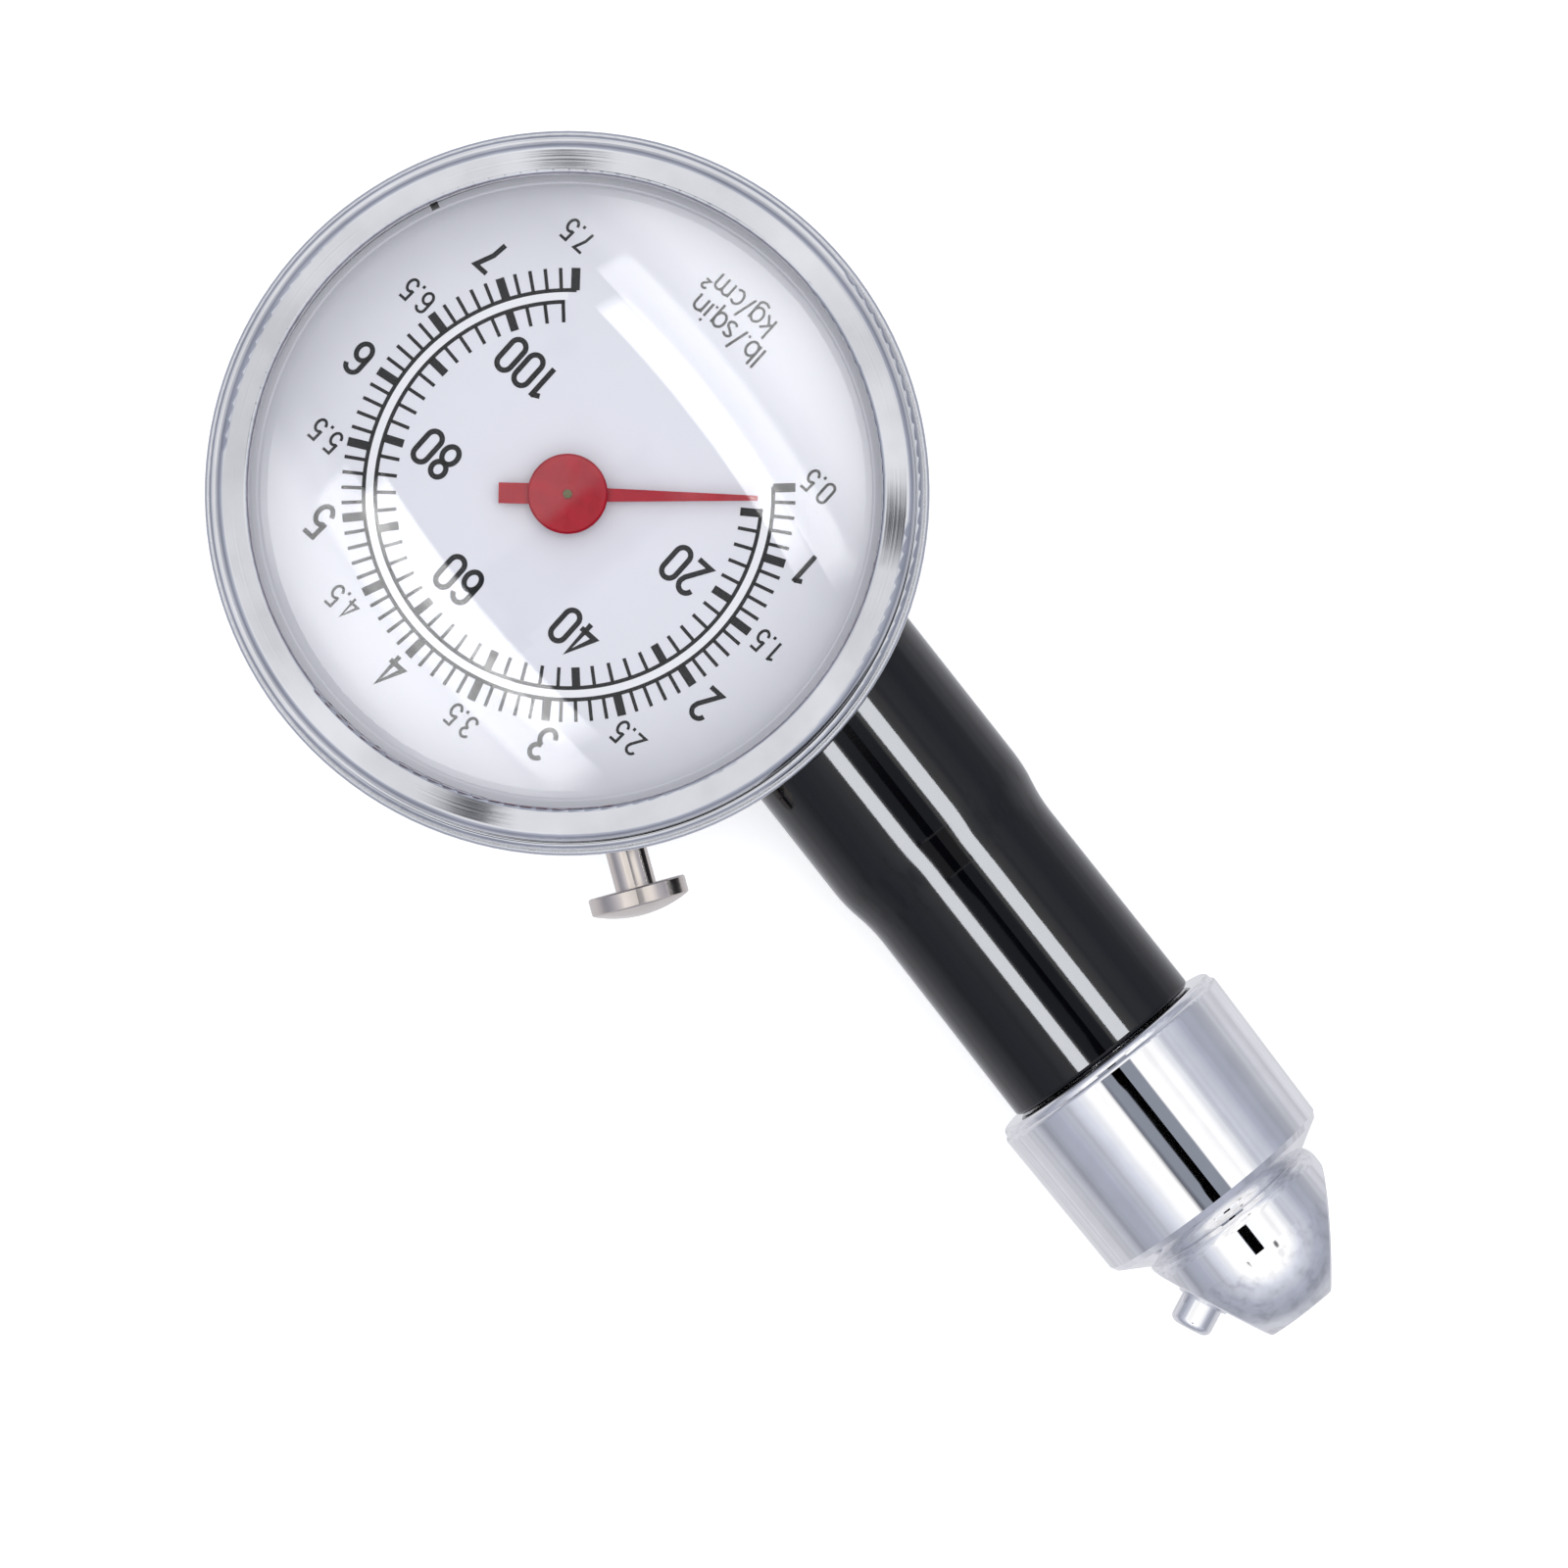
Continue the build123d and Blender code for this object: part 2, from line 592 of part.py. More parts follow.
# Countersunk screws through the case back, their slotted heads a little below its face.
HEAD_SINK = 0.1
SCREW_END_Z = 5.6
with BuildPart() as socket_screws:
    for x, y in SOCKET_SCREWS:
        shank_x = x + SOCKET_SCREW_R - 0.05
        with BuildSketch(Plane.XZ.offset(-y)):
            with BuildLine():
                Polyline(
                    (x, HEAD_SINK),
                    (x + 1.95, HEAD_SINK),
                    (shank_x, HEAD_SINK + 0.75),
                    (shank_x, SCREW_END_Z),
                    (x, SCREW_END_Z),
                    close=True,
                )
            make_face()
        revolve(axis=Axis((x, y, 0), (0, 0, 1)))
        with BuildSketch(Plane.XY.offset(HEAD_SINK)):
            with Locations((x, y)):
                Rectangle(3.0, 0.5)
        extrude(amount=0.4, mode=Mode.SUBTRACT)
socket_screws.part.label = "socket_screws"
export_step(socket_screws.part, "parts/socket_screws.step")

# ---- movement frame and hairspring --------------------------------------------------------


def plate_outline(margin):
    """Adds the plates' outline, the hull of discs about the pillars and the sector's pivot."""
    with Locations(*PILLARS, SECTOR_PIVOT):
        Circle(margin)
    make_hull()


with BuildPart() as movement_back_plate:
    with BuildSketch(Plane.XY.offset(BACK_PLATE_Z)):
        plate_outline(2.2)
        Circle(ARBOR_PIVOT_R + RUN_CLEARANCE, mode=Mode.SUBTRACT)
        with Locations(SECTOR_PIVOT):
            Circle(SECTOR_ARBOR_R + RUN_CLEARANCE, mode=Mode.SUBTRACT)
        with Locations(*ARM_SCREWS):
            Circle(0.7, mode=Mode.SUBTRACT)
    extrude(amount=PLATE_T)
movement_back_plate.part.label = "movement_back_plate"
export_step(movement_back_plate.part, "parts/movement_back_plate.step")

with BuildPart() as movement_front_plate:
    with BuildSketch(Plane.XY.offset(FRONT_PLATE_Z)):
        plate_outline(2.2)
        Circle(ARBOR_R + RUN_CLEARANCE, mode=Mode.SUBTRACT)
        with Locations(SECTOR_PIVOT):
            Circle(SECTOR_ARBOR_R + RUN_CLEARANCE, mode=Mode.SUBTRACT)
        with Locations(*PILLARS):
            Circle(0.65, mode=Mode.SUBTRACT)
    extrude(amount=PLATE_T)
movement_front_plate.part.label = "movement_front_plate"
export_step(movement_front_plate.part, "parts/movement_front_plate.step")

with BuildPart() as movement_pillars:
    with BuildSketch(Plane.XY.offset(BACK_PLATE_Z + PLATE_T)):
        with Locations(*PILLARS):
            Circle(PILLAR_R)
    extrude(amount=FRONT_PLATE_Z - BACK_PLATE_Z - PLATE_T)
    with Locations(*[Location((x, y, FRONT_PLATE_Z)) for x, y in PILLARS]):
        Hole(0.6, depth=3.0)
movement_pillars.part.label = "movement_pillars"
export_step(movement_pillars.part, "parts/movement_pillars.step")


def slotted_screws(places, seat_z, shank_l):
    """Cheese-head screws at places in plan, with their heads' undersides at one height."""
    with BuildPart() as screws:
        with BuildSketch(Plane.XY.offset(seat_z - shank_l)):
            with Locations(*places):
                Circle(SMALL_SCREW_R)
        extrude(amount=shank_l)
        with BuildSketch(Plane.XY.offset(seat_z)):
            with Locations(*places):
                Circle(SMALL_HEAD_R)
        extrude(amount=SMALL_HEAD_T)
        with BuildSketch(Plane.XY.offset(seat_z + SMALL_HEAD_T - 0.3)):
            with Locations(*places):
                Rectangle(2.4, 0.35)
        extrude(amount=0.3, mode=Mode.SUBTRACT)
    return screws


pillar_screws = slotted_screws(PILLARS, FRONT_PLATE_Z + PLATE_T, PLATE_T + 2.0)
pillar_screws.part.label = "pillar_screws"
export_step(pillar_screws.part, "parts/pillar_screws.step")

arm_screws = slotted_screws(ARM_SCREWS, BACK_PLATE_Z + PLATE_T, PLATE_T + 1.0)
arm_screws.part.label = "arm_screws"
export_step(arm_screws.part, "parts/arm_screws.step")

# Spiral of half circles, whose centres step from side to side of the arbor.
with BuildPart() as hairspring:
    with BuildSketch(Plane.XY.offset(HAIRSPRING_Z)):
        for n in range(HAIRSPRING_HALF_TURNS):
            side = n % 2
            centre = (HAIRSPRING_STEP * (0.5 - side), 0)
            radius = HAIRSPRING_IN_R + HAIRSPRING_STEP * n
            arc = CenterArc(centre, radius, 180 * side, 180, mode=Mode.PRIVATE)
            SlotArc(arc, 0.12)
    extrude(amount=0.45)
hairspring.part.label = "hairspring"
export_step(hairspring.part, "parts/hairspring.step")

with BuildPart() as hairspring_collet:
    with BuildSketch(Plane.XY.offset(HAIRSPRING_Z - 0.2)):
        Circle(1.2)
        Circle(ARBOR_R, mode=Mode.SUBTRACT)
    extrude(amount=0.9)
hairspring_collet.part.label = "hairspring_collet"
export_step(hairspring_collet.part, "parts/hairspring_collet.step")

# ---- bleed valve --------------------------------------------------------------------------

# Button: a domed head on a stem that runs in through the case wall and the bush.
BUTTON_EDGE = 0.12
DOME_FOOT = BUTTON_R - BUTTON_EDGE
BUTTON_DOME_R = (DOME_FOOT**2 + BUTTON_DOME**2) / (2 * BUTTON_DOME)
POPPET_OUT = BUSH_IN - 0.75
POPPET_T = 0.6
with BuildPart() as bleed_button:
    with BuildSketch(BUTTON):
        with BuildLine():
            Polyline(
                (POPPET_OUT, 0),
                (POPPET_OUT, BUTTON_STEM_R),
                (0, BUTTON_STEM_R),
                (0, DOME_FOOT),
                (BUTTON_EDGE, BUTTON_R),
                (BUTTON_T - BUTTON_EDGE, BUTTON_R),
                (BUTTON_T, DOME_FOOT),
            )
            RadiusArc((BUTTON_T, DOME_FOOT), (BUTTON_T + BUTTON_DOME, 0), BUTTON_DOME_R)
            Line((BUTTON_T + BUTTON_DOME, 0), (POPPET_OUT, 0))
        make_face()
    revolve(axis=line_of(BUTTON))
bleed_button.part.label = "bleed_button"
export_step(bleed_button.part, "parts/bleed_button.step")

# Guide bush in the socket's side, whose inner face is the valve seat.
with BuildPart() as bleed_bush:
    with BuildSketch(BUTTON):
        with BuildLine():
            Polyline(
                (BUSH_IN, BUTTON_STEM_R + RUN_CLEARANCE),
                (BUSH_IN, VALVE_R),
                (BUSH_OUT, VALVE_R),
                (BUSH_OUT, BUTTON_STEM_R + RUN_CLEARANCE),
                close=True,
            )
        make_face()
    revolve(axis=line_of(BUTTON))
bleed_bush.part.label = "bleed_bush"
export_step(bleed_bush.part, "parts/bleed_bush.step")

# Round plate riveted to the stem's inner end, with an O-ring that meets the bush.
with BuildPart() as bleed_poppet:
    with BuildSketch(across(BUTTON, POPPET_OUT - POPPET_T)):
        Circle(VALVE_R - 0.25)
    extrude(amount=POPPET_T)
bleed_poppet.part.label = "bleed_poppet"
export_step(bleed_poppet.part, "parts/bleed_poppet.step")

with BuildPart() as bleed_seal:
    with BuildSketch(BUTTON):
        with Locations((POPPET_OUT + 0.33, BUTTON_STEM_R + 0.32)):
            Circle(0.31)
    revolve(axis=line_of(BUTTON))
bleed_seal.part.label = "bleed_seal"
export_step(bleed_seal.part, "parts/bleed_seal.step")


def coil(plane, start, end, radius, turns):
    """The helix of a spring that runs along a plane's X, from start to end."""
    centre = plane.origin + plane.x_dir * start
    length = end - start
    return Helix(length / turns, length, radius, center=centre, direction=plane.x_dir)


BLEED_WIRE_R = 0.2
bleed_helix = coil(BUTTON, CHAMBER_END + 0.25, POPPET_OUT - POPPET_T - 0.22, 1.5, 4)
with BuildPart() as bleed_spring:
    with BuildSketch(Plane(bleed_helix @ 0, z_dir=bleed_helix % 0)):
        Circle(BLEED_WIRE_R)
    sweep(path=bleed_helix, is_frenet=True)
bleed_spring.part.label = "bleed_spring"
export_step(bleed_spring.part, "parts/bleed_spring.step")

# ---- handle -------------------------------------------------------------------------------

with BuildPart() as inlet_stem:
    with BuildSketch(HANDLE):
        with BuildLine():
            Polyline(
                (STEM_IN_X + 0.02, STEM_BORE_R),
                (STEM_IN_X + 0.02, STEM_R - 0.02),
                (STEM_OUT_X, STEM_R - 0.02),
                (STEM_OUT_X, STEM_BORE_R),
                close=True,
            )
        make_face()
    revolve(axis=line_of(HANDLE))
inlet_stem.part.label = "inlet_stem"
export_step(inlet_stem.part, "parts/inlet_stem.step")

# Rubber sleeve: full at the case, with a soft step down to a slightly waisted front half.
GRIP_MID_X = (GRIP_STEP_X + GRIP_NECK_X) / 2
GRIP_MID_R = (GRIP_R + GRIP_NECK_R) / 2
with BuildPart() as grip:
    with BuildSketch(HANDLE):
        with BuildLine():
            Polyline(
                (GRIP_END_X, STEM_R),
                (20.0, STEM_R),
                (20.0, GRIP_R),
                (GRIP_STEP_X, GRIP_R),
            )
            step_out = TangentArc((GRIP_STEP_X, GRIP_R), (GRIP_MID_X, GRIP_MID_R), tangent=(1, 0))
            step_in = TangentArc((GRIP_MID_X, GRIP_MID_R), (GRIP_NECK_X, GRIP_NECK_R), tangent=step_out % 1)
            Line((GRIP_NECK_X, GRIP_NECK_R), (GRIP_END_X - 0.4, GRIP_END_R))
            RadiusArc((GRIP_END_X - 0.4, GRIP_END_R), (GRIP_END_X, GRIP_END_R - 0.4), 0.4)
            Line((GRIP_END_X, GRIP_END_R - 0.4), (GRIP_END_X, STEM_R))
        make_face()
    revolve(axis=line_of(HANDLE))
    with BuildSketch(Plane.XY):
        Circle(CASE_R + 0.02)
    extrude(amount=FLANGE_Z, mode=Mode.SUBTRACT)
grip.part.label = "grip"
export_step(grip.part, "parts/grip.step")

# Plated collar that screws on the stem and holds the chuck's shank.
CHAMFER_X = FERRULE_X1 - 1.25
with BuildPart() as ferrule:
    with BuildSketch(HANDLE):
        with BuildLine():
            Polyline(
                (STEM_OUT_X + 0.05, 3.0),
                (STEM_OUT_X + 0.05, STEM_R),
                (FERRULE_X0, STEM_R),
                (FERRULE_X0, FERRULE_R - 0.75),
            )
            RadiusArc((FERRULE_X0, FERRULE_R - 0.75), (FERRULE_X0 + 0.5, FERRULE_R - 0.25), 0.5)
            Line((FERRULE_X0 + 0.5, FERRULE_R - 0.25), (FERRULE_X0 + 0.62, FERRULE_R - 0.25))
            RadiusArc((FERRULE_X0 + 0.62, FERRULE_R - 0.25), (FERRULE_X0 + 0.95, FERRULE_R), 0.4)
            Polyline(
                (FERRULE_X0 + 0.95, FERRULE_R),
                (CHAMFER_X - 0.5, FERRULE_END_R),
                (CHAMFER_X, FERRULE_END_R - 0.3),
                (FERRULE_X1, FERRULE_MOUTH_R + 0.05),
                (FERRULE_X1, SHANK_R),
                (SHANK_X - 0.05, SHANK_R),
                (SHANK_X - 0.05, 3.0),
                (STEM_OUT_X + 0.05, 3.0),
            )
        make_face()
    revolve(axis=line_of(HANDLE))
ferrule.part.label = "ferrule"
export_step(ferrule.part, "parts/ferrule.step")

# ---- chuck --------------------------------------------------------------------------------

# Round nose with two flats: one holds the valve mouth, the other the nib.
NOSE_TIP_L = 0.25
NOSE_R = math.sqrt(CHUCK_R**2 - (NOSE_X - NOSE_TIP_L - NOSE_START_X) ** 2)
CHUCK_BACK_X = FERRULE_X1 + 0.02
CHUCK_FULL_X = FERRULE_X1 + 1.2
FLAT_CUT = 40
with BuildPart() as chuck_body:
    with BuildSketch(HANDLE):
        with BuildLine():
            Polyline(
                (SHANK_X, 0),
                (SHANK_X, SHANK_R - 0.02),
                (CHUCK_BACK_X, SHANK_R - 0.02),
                (CHUCK_BACK_X, CHUCK_R - 0.5),
            )
            RadiusArc((CHUCK_BACK_X, CHUCK_R - 0.5), (CHUCK_FULL_X, CHUCK_R), 1.6)
            Line((CHUCK_FULL_X, CHUCK_R), (NOSE_START_X, CHUCK_R))
            RadiusArc((NOSE_START_X, CHUCK_R), (NOSE_X - NOSE_TIP_L, NOSE_R), CHUCK_R)
            ThreePointArc((NOSE_X - NOSE_TIP_L, NOSE_R), (NOSE_X - NOSE_TIP_L / 4, NOSE_R / 2), (NOSE_X, 0))
            Line((NOSE_X, 0), (SHANK_X, 0))
        make_face()
    revolve(axis=line_of(HANDLE))
    # the two flats
    for face in (MOUTH, NIB):
        with BuildSketch(across(face)):
            Rectangle(FLAT_CUT, FLAT_CUT)
        extrude(amount=FLAT_CUT / 3, mode=Mode.SUBTRACT)
    chuck_edges = chuck_body.edges().filter_by(lambda edge: edge.center().X > CHUCK_FULL_X + 0.3)
    fillet(chuck_edges, radius=FLAT_EDGE_R)
    # low boss round the nib
    with BuildSketch(across(NIB)):
        Circle(NIB_R + 0.45)
    extrude(amount=0.35, taper=20)
    # mouth bore, the wider pocket that holds the washer, and the spider's pocket
    for bottom, top, radius in (
        (SEAL_DEPTH, -5, MOUTH_R),
        (SEAL_BOTTOM, SEAL_DEPTH, SEAL_R),
        (SEAL_BOTTOM + DEPRESSOR_T, SEAL_BOTTOM, DEPRESSOR_SPIDER_R),
    ):
        with BuildSketch(across(MOUTH, -bottom)):
            Circle(radius)
        extrude(amount=bottom - top, mode=Mode.SUBTRACT)
    # air passage along the shank, and the nib's hole
    with BuildSketch(across(HANDLE, SHANK_X)):
        Circle(PASSAGE_R)
    extrude(amount=7.0, mode=Mode.SUBTRACT)
    with BuildSketch(across(NIB, -NIB_IN)):
        Circle(NIB_R)
    extrude(amount=NIB_IN + 1, mode=Mode.SUBTRACT)
chuck_body.part.label = "chuck_body"
export_step(chuck_body.part, "parts/chuck_body.step")

with BuildPart() as nib:
    with BuildSketch(NIB):
        with BuildLine():
            Polyline((-NIB_IN, 0), (-NIB_IN, NIB_R), (NIB_OUT - 0.6, NIB_R))
            RadiusArc((NIB_OUT - 0.6, NIB_R), (NIB_OUT, NIB_R - 0.6), 0.6)
            Polyline((NIB_OUT, NIB_R - 0.6), (NIB_OUT, 0), (-NIB_IN, 0))
        make_face()
    revolve(axis=line_of(NIB))
nib.part.label = "nib"
export_step(nib.part, "parts/nib.step")

# Rubber washer at the bottom of the mouth, that a tire's valve is pressed against.
with BuildPart() as chuck_seal:
    with BuildSketch(across(MOUTH, -SEAL_BOTTOM)):
        Circle(SEAL_R)
        Circle(SEAL_HOLE_R, mode=Mode.SUBTRACT)
    extrude(amount=SEAL_T)
chuck_seal.part.label = "chuck_seal"
export_step(chuck_seal.part, "parts/chuck_seal.step")

# Cross-shaped spider with the pin that opens the valve core; the pin ends just below the washer's face.
SPIDER_DEPTH = SEAL_BOTTOM + DEPRESSOR_T
with BuildPart() as depressor:
    with BuildSketch(across(MOUTH, -SPIDER_DEPTH)):
        Rectangle(2 * DEPRESSOR_SPIDER_R, 1.0)
        Rectangle(1.0, 2 * DEPRESSOR_SPIDER_R)
        Circle(DEPRESSOR_SPIDER_R - 0.02, mode=Mode.INTERSECT)
    extrude(amount=DEPRESSOR_T - 0.2)
    with BuildSketch(across(MOUTH, -SPIDER_DEPTH)):
        Circle(DEPRESSOR_R)
    extrude(amount=SPIDER_DEPTH - SEAL_DEPTH - 0.15)
depressor.part.label = "depressor"
export_step(depressor.part, "parts/depressor.step")

# ---- check valve in the ferrule -----------------------------------------------------------

BALL_R = 2.0
BALL_X = SHANK_X - math.sqrt(BALL_R**2 - PASSAGE_R**2) - 0.05
with BuildPart() as check_ball:
    with Locations((BALL_X, HANDLE_Y, AXIS_Z)):
        Sphere(BALL_R)
check_ball.part.label = "check_ball"
export_step(check_ball.part, "parts/check_ball.step")

CHECK_WIRE_R = 0.15
check_helix = coil(HANDLE, STEM_OUT_X + 0.17, BALL_X - 1.55, 1.75, 3)
with BuildPart() as check_spring:
    with BuildSketch(Plane(check_helix @ 0, z_dir=check_helix % 0)):
        Circle(CHECK_WIRE_R)
    sweep(path=check_helix, is_frenet=True)
check_spring.part.label = "check_spring"
export_step(check_spring.part, "parts/check_spring.step")
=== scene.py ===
"""Looks of the dial tire pressure gauge round its CAD frame: finishes, printing, camera and studio."""

import math

import bpy
from mathutils import Matrix, Vector


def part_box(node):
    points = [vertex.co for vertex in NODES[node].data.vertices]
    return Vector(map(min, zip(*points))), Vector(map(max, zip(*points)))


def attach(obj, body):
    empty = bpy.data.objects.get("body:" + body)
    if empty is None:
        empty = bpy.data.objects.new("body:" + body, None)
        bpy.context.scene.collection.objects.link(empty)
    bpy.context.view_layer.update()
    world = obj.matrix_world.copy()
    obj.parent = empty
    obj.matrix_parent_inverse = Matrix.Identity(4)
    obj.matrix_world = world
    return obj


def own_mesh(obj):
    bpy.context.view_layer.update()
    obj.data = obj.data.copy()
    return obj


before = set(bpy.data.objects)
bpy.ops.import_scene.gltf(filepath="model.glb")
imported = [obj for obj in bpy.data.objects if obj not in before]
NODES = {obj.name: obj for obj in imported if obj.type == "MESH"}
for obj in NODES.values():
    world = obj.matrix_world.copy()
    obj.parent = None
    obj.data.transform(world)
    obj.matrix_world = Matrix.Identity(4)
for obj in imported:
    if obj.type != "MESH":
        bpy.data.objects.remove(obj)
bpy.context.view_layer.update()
MM = 0.001

# ---- places and sizes ----------------------------------------------------------------------

DIAL_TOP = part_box("dial_plate")[1].z
CASE_BACK_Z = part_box("case_cup")[0].z

# The camera looks straight down. The picture's right is this angle from the handle, in plan.
PICTURE_RIGHT = 51.8
CAMERA_PLACE = (27.0 * MM, -0.7 * MM, 457.4 * MM)
FOCAL_MM = 135.0


def unit(angle):
    """A unit vector in plan at an angle in degrees."""
    return Vector((math.cos(math.radians(angle)), math.sin(math.radians(angle))))


# ---- camera --------------------------------------------------------------------------------


def make_camera():
    """A camera straight above the gauge, turned so that the handle runs down to the right."""
    data = bpy.data.cameras.new("camera")
    data.lens = FOCAL_MM
    data.sensor_width = 36.0
    data.clip_start = 0.01
    camera = bpy.data.objects.new("camera", data)
    bpy.context.scene.collection.objects.link(camera)
    turn = Matrix.Rotation(math.radians(PICTURE_RIGHT), 4, "Z")
    camera.matrix_world = Matrix.Translation(CAMERA_PLACE) @ turn
    bpy.context.scene.camera = camera


# ---- mesh helpers --------------------------------------------------------------------------


def mesh_object(name, verts, faces):
    """A new flat-shaded mesh object, linked to the scene."""
    mesh = bpy.data.meshes.new(name)
    mesh.from_pydata(verts, [], faces)
    mesh.validate()
    obj = bpy.data.objects.new(name, mesh)
    bpy.context.scene.collection.objects.link(obj)
    return obj


class Print:
    """A layer of ink on the dial: flat strips of even width, a hair thick, gathered into one mesh."""

    def __init__(self):
        self.verts, self.faces = [], []

    def strip(self, points, width, closed=False):
        """Adds a strip along points, as a thin solid."""
        count = len(points)
        start = len(self.verts)
        for n, here in enumerate(points):
            before = points[n - 1] if closed or n > 0 else here
            after = points[(n + 1) % count] if closed or n < count - 1 else here
            run_in = (here - before).normalized()
            run_out = (after - here).normalized()
            way = (run_in + run_out).normalized()
            side = Vector((-way.y, way.x))
            reach = width / 2 / max(way.dot(run_out if run_out.length else run_in), 0.5)
            left, right = here + side * reach, here - side * reach
            self.verts += [
                (left.x, left.y, INK_TOP),
                (right.x, right.y, INK_TOP),
                (right.x, right.y, INK_BOTTOM),
                (left.x, left.y, INK_BOTTOM),
            ]
        spans = count if closed else count - 1
        for n in range(spans):
            a, b = start + 4 * n, start + 4 * ((n + 1) % count)
            for k in range(4):
                m = (k + 1) % 4
                self.faces.append((a + k, a + m, b + m, b + k))
        if not closed:
            last = start + 4 * (count - 1)
            self.faces.append((start + 3, start + 2, start + 1, start))
            self.faces.append((last, last + 1, last + 2, last + 3))

    def done(self, name, finish):
        """Turns the layer into an object that rides on the gauge's body."""
        obj = mesh_object(name, self.verts, self.faces)
        obj.data.materials.append(finish)
        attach(obj, "gauge_body")


# ---- materials -----------------------------------------------------------------------------

NOISE_LOW, NOISE_HIGH = 0.3, 0.7  # nearly all of a noise texture's values lie between these


def principled(name, colour, metallic=0.0, roughness=0.5):
    """A material with one Principled shader, returned with its node tree and shader."""
    finish = bpy.data.materials.new(name)
    finish.use_nodes = True
    tree = finish.node_tree
    shader = tree.nodes["Principled BSDF"]
    shader.inputs["Base Color"].default_value = (*colour, 1)
    shader.inputs["Metallic"].default_value = metallic
    shader.inputs["Roughness"].default_value = roughness
    return finish, tree, shader


def noise(tree, scale, detail=4.0, stretch=(1, 1, 1)):
    """A noise texture in the object's own metres, stretched along an axis where stretch is small."""
    place = tree.nodes.new("ShaderNodeTexCoord")
    mapping = tree.nodes.new("ShaderNodeMapping")
    mapping.inputs["Scale"].default_value = stretch
    texture = tree.nodes.new("ShaderNodeTexNoise")
    texture.inputs["Scale"].default_value = scale
    texture.inputs["Detail"].default_value = detail
    tree.links.new(place.outputs["Object"], mapping.inputs["Vector"])
    tree.links.new(mapping.outputs["Vector"], texture.inputs["Vector"])
    return texture.outputs["Fac"]


def vary(tree, value, low, high):
    """Spreads the middle of a 0 to 1 noise over a range."""
    spread = tree.nodes.new("ShaderNodeMapRange")
    spread.inputs["From Min"].default_value = NOISE_LOW
    spread.inputs["From Max"].default_value = NOISE_HIGH
    spread.inputs["To Min"].default_value = low
    spread.inputs["To Max"].default_value = high
    tree.links.new(value, spread.inputs["Value"])
    return spread.outputs["Result"]


def blend_colours(tree, value, first, second):
    """A colour between two, by the middle of a 0 to 1 noise."""
    ramp = tree.nodes.new("ShaderNodeValToRGB")
    ramp.color_ramp.elements[0].position = NOISE_LOW
    ramp.color_ramp.elements[0].color = (*first, 1)
    ramp.color_ramp.elements[1].position = NOISE_HIGH
    ramp.color_ramp.elements[1].color = (*second, 1)
    tree.links.new(value, ramp.inputs["Fac"])
    return ramp.outputs["Color"]


def bump(tree, shader, value, height):
    """Raises the surface by a 0 to 1 value times a height in metres."""
    node = tree.nodes.new("ShaderNodeBump")
    node.inputs["Strength"].default_value = 1.0
    node.inputs["Distance"].default_value = height
    tree.links.new(value, node.inputs["Height"])
    tree.links.new(node.outputs["Normal"], shader.inputs["Normal"])


def plated(name, colour, roughness, ripple):
    """Bright plating over polished metal, with faint smears and a ripple of so many millimetres."""
    finish, tree, shader = principled(name, colour, 1.0, roughness)
    smears = noise(tree, 260, 6)
    tree.links.new(vary(tree, smears, roughness * 0.7, roughness * 1.6), shader.inputs["Roughness"])
    dull = tuple(channel * 0.93 for channel in colour)
    tree.links.new(blend_colours(tree, noise(tree, 420, 6), dull, colour), shader.inputs["Base Color"])
    bump(tree, shader, noise(tree, 150, 2), ripple * MM)
    return finish


def turned(name, colour, roughness, depth):
    """Plated metal with dull patches and lathe lines round the dial's axis, their depth in millimetres."""
    finish, tree, shader = principled(name, colour, 1.0, roughness)
    place = tree.nodes.new("ShaderNodeTexCoord")
    split = tree.nodes.new("ShaderNodeSeparateXYZ")
    tree.links.new(place.outputs["Object"], split.inputs["Vector"])
    flat = tree.nodes.new("ShaderNodeCombineXYZ")
    tree.links.new(split.outputs["X"], flat.inputs["X"])
    tree.links.new(split.outputs["Y"], flat.inputs["Y"])
    radius = tree.nodes.new("ShaderNodeVectorMath")
    radius.operation = "LENGTH"
    tree.links.new(flat.outputs["Vector"], radius.inputs[0])
    rings = tree.nodes.new("ShaderNodeCombineXYZ")
    tree.links.new(radius.outputs["Value"], rings.inputs["X"])
    tree.links.new(split.outputs["Z"], rings.inputs["Y"])
    lines = tree.nodes.new("ShaderNodeTexNoise")
    lines.inputs["Scale"].default_value = 5200
    lines.inputs["Detail"].default_value = 3
    tree.links.new(rings.outputs["Vector"], lines.inputs["Vector"])
    patches = noise(tree, 130, 6)
    tree.links.new(vary(tree, patches, roughness * 0.6, roughness * 1.7), shader.inputs["Roughness"])
    dull = tuple(channel * 0.8 for channel in colour)
    tree.links.new(blend_colours(tree, patches, dull, colour), shader.inputs["Base Color"])
    ripple = tree.nodes.new("ShaderNodeMath")
    ripple.operation = "MULTIPLY_ADD"
    ripple.inputs[1].default_value = 3.0
    tree.links.new(noise(tree, 210, 2), ripple.inputs[0])
    tree.links.new(lines.outputs["Fac"], ripple.inputs[2])
    bump(tree, shader, ripple.outputs["Value"], depth * MM)
    return finish


def brushed(name, colour, roughness, stretch):
    """Turned or drawn metal with fine lines along the axis whose stretch is small."""
    finish, tree, shader = principled(name, colour, 1.0, roughness)
    lines = noise(tree, 2600, 3, stretch)
    tree.links.new(vary(tree, lines, roughness * 0.75, roughness * 1.35), shader.inputs["Roughness"])
    bump(tree, shader, lines, 0.006 * MM)
    return finish


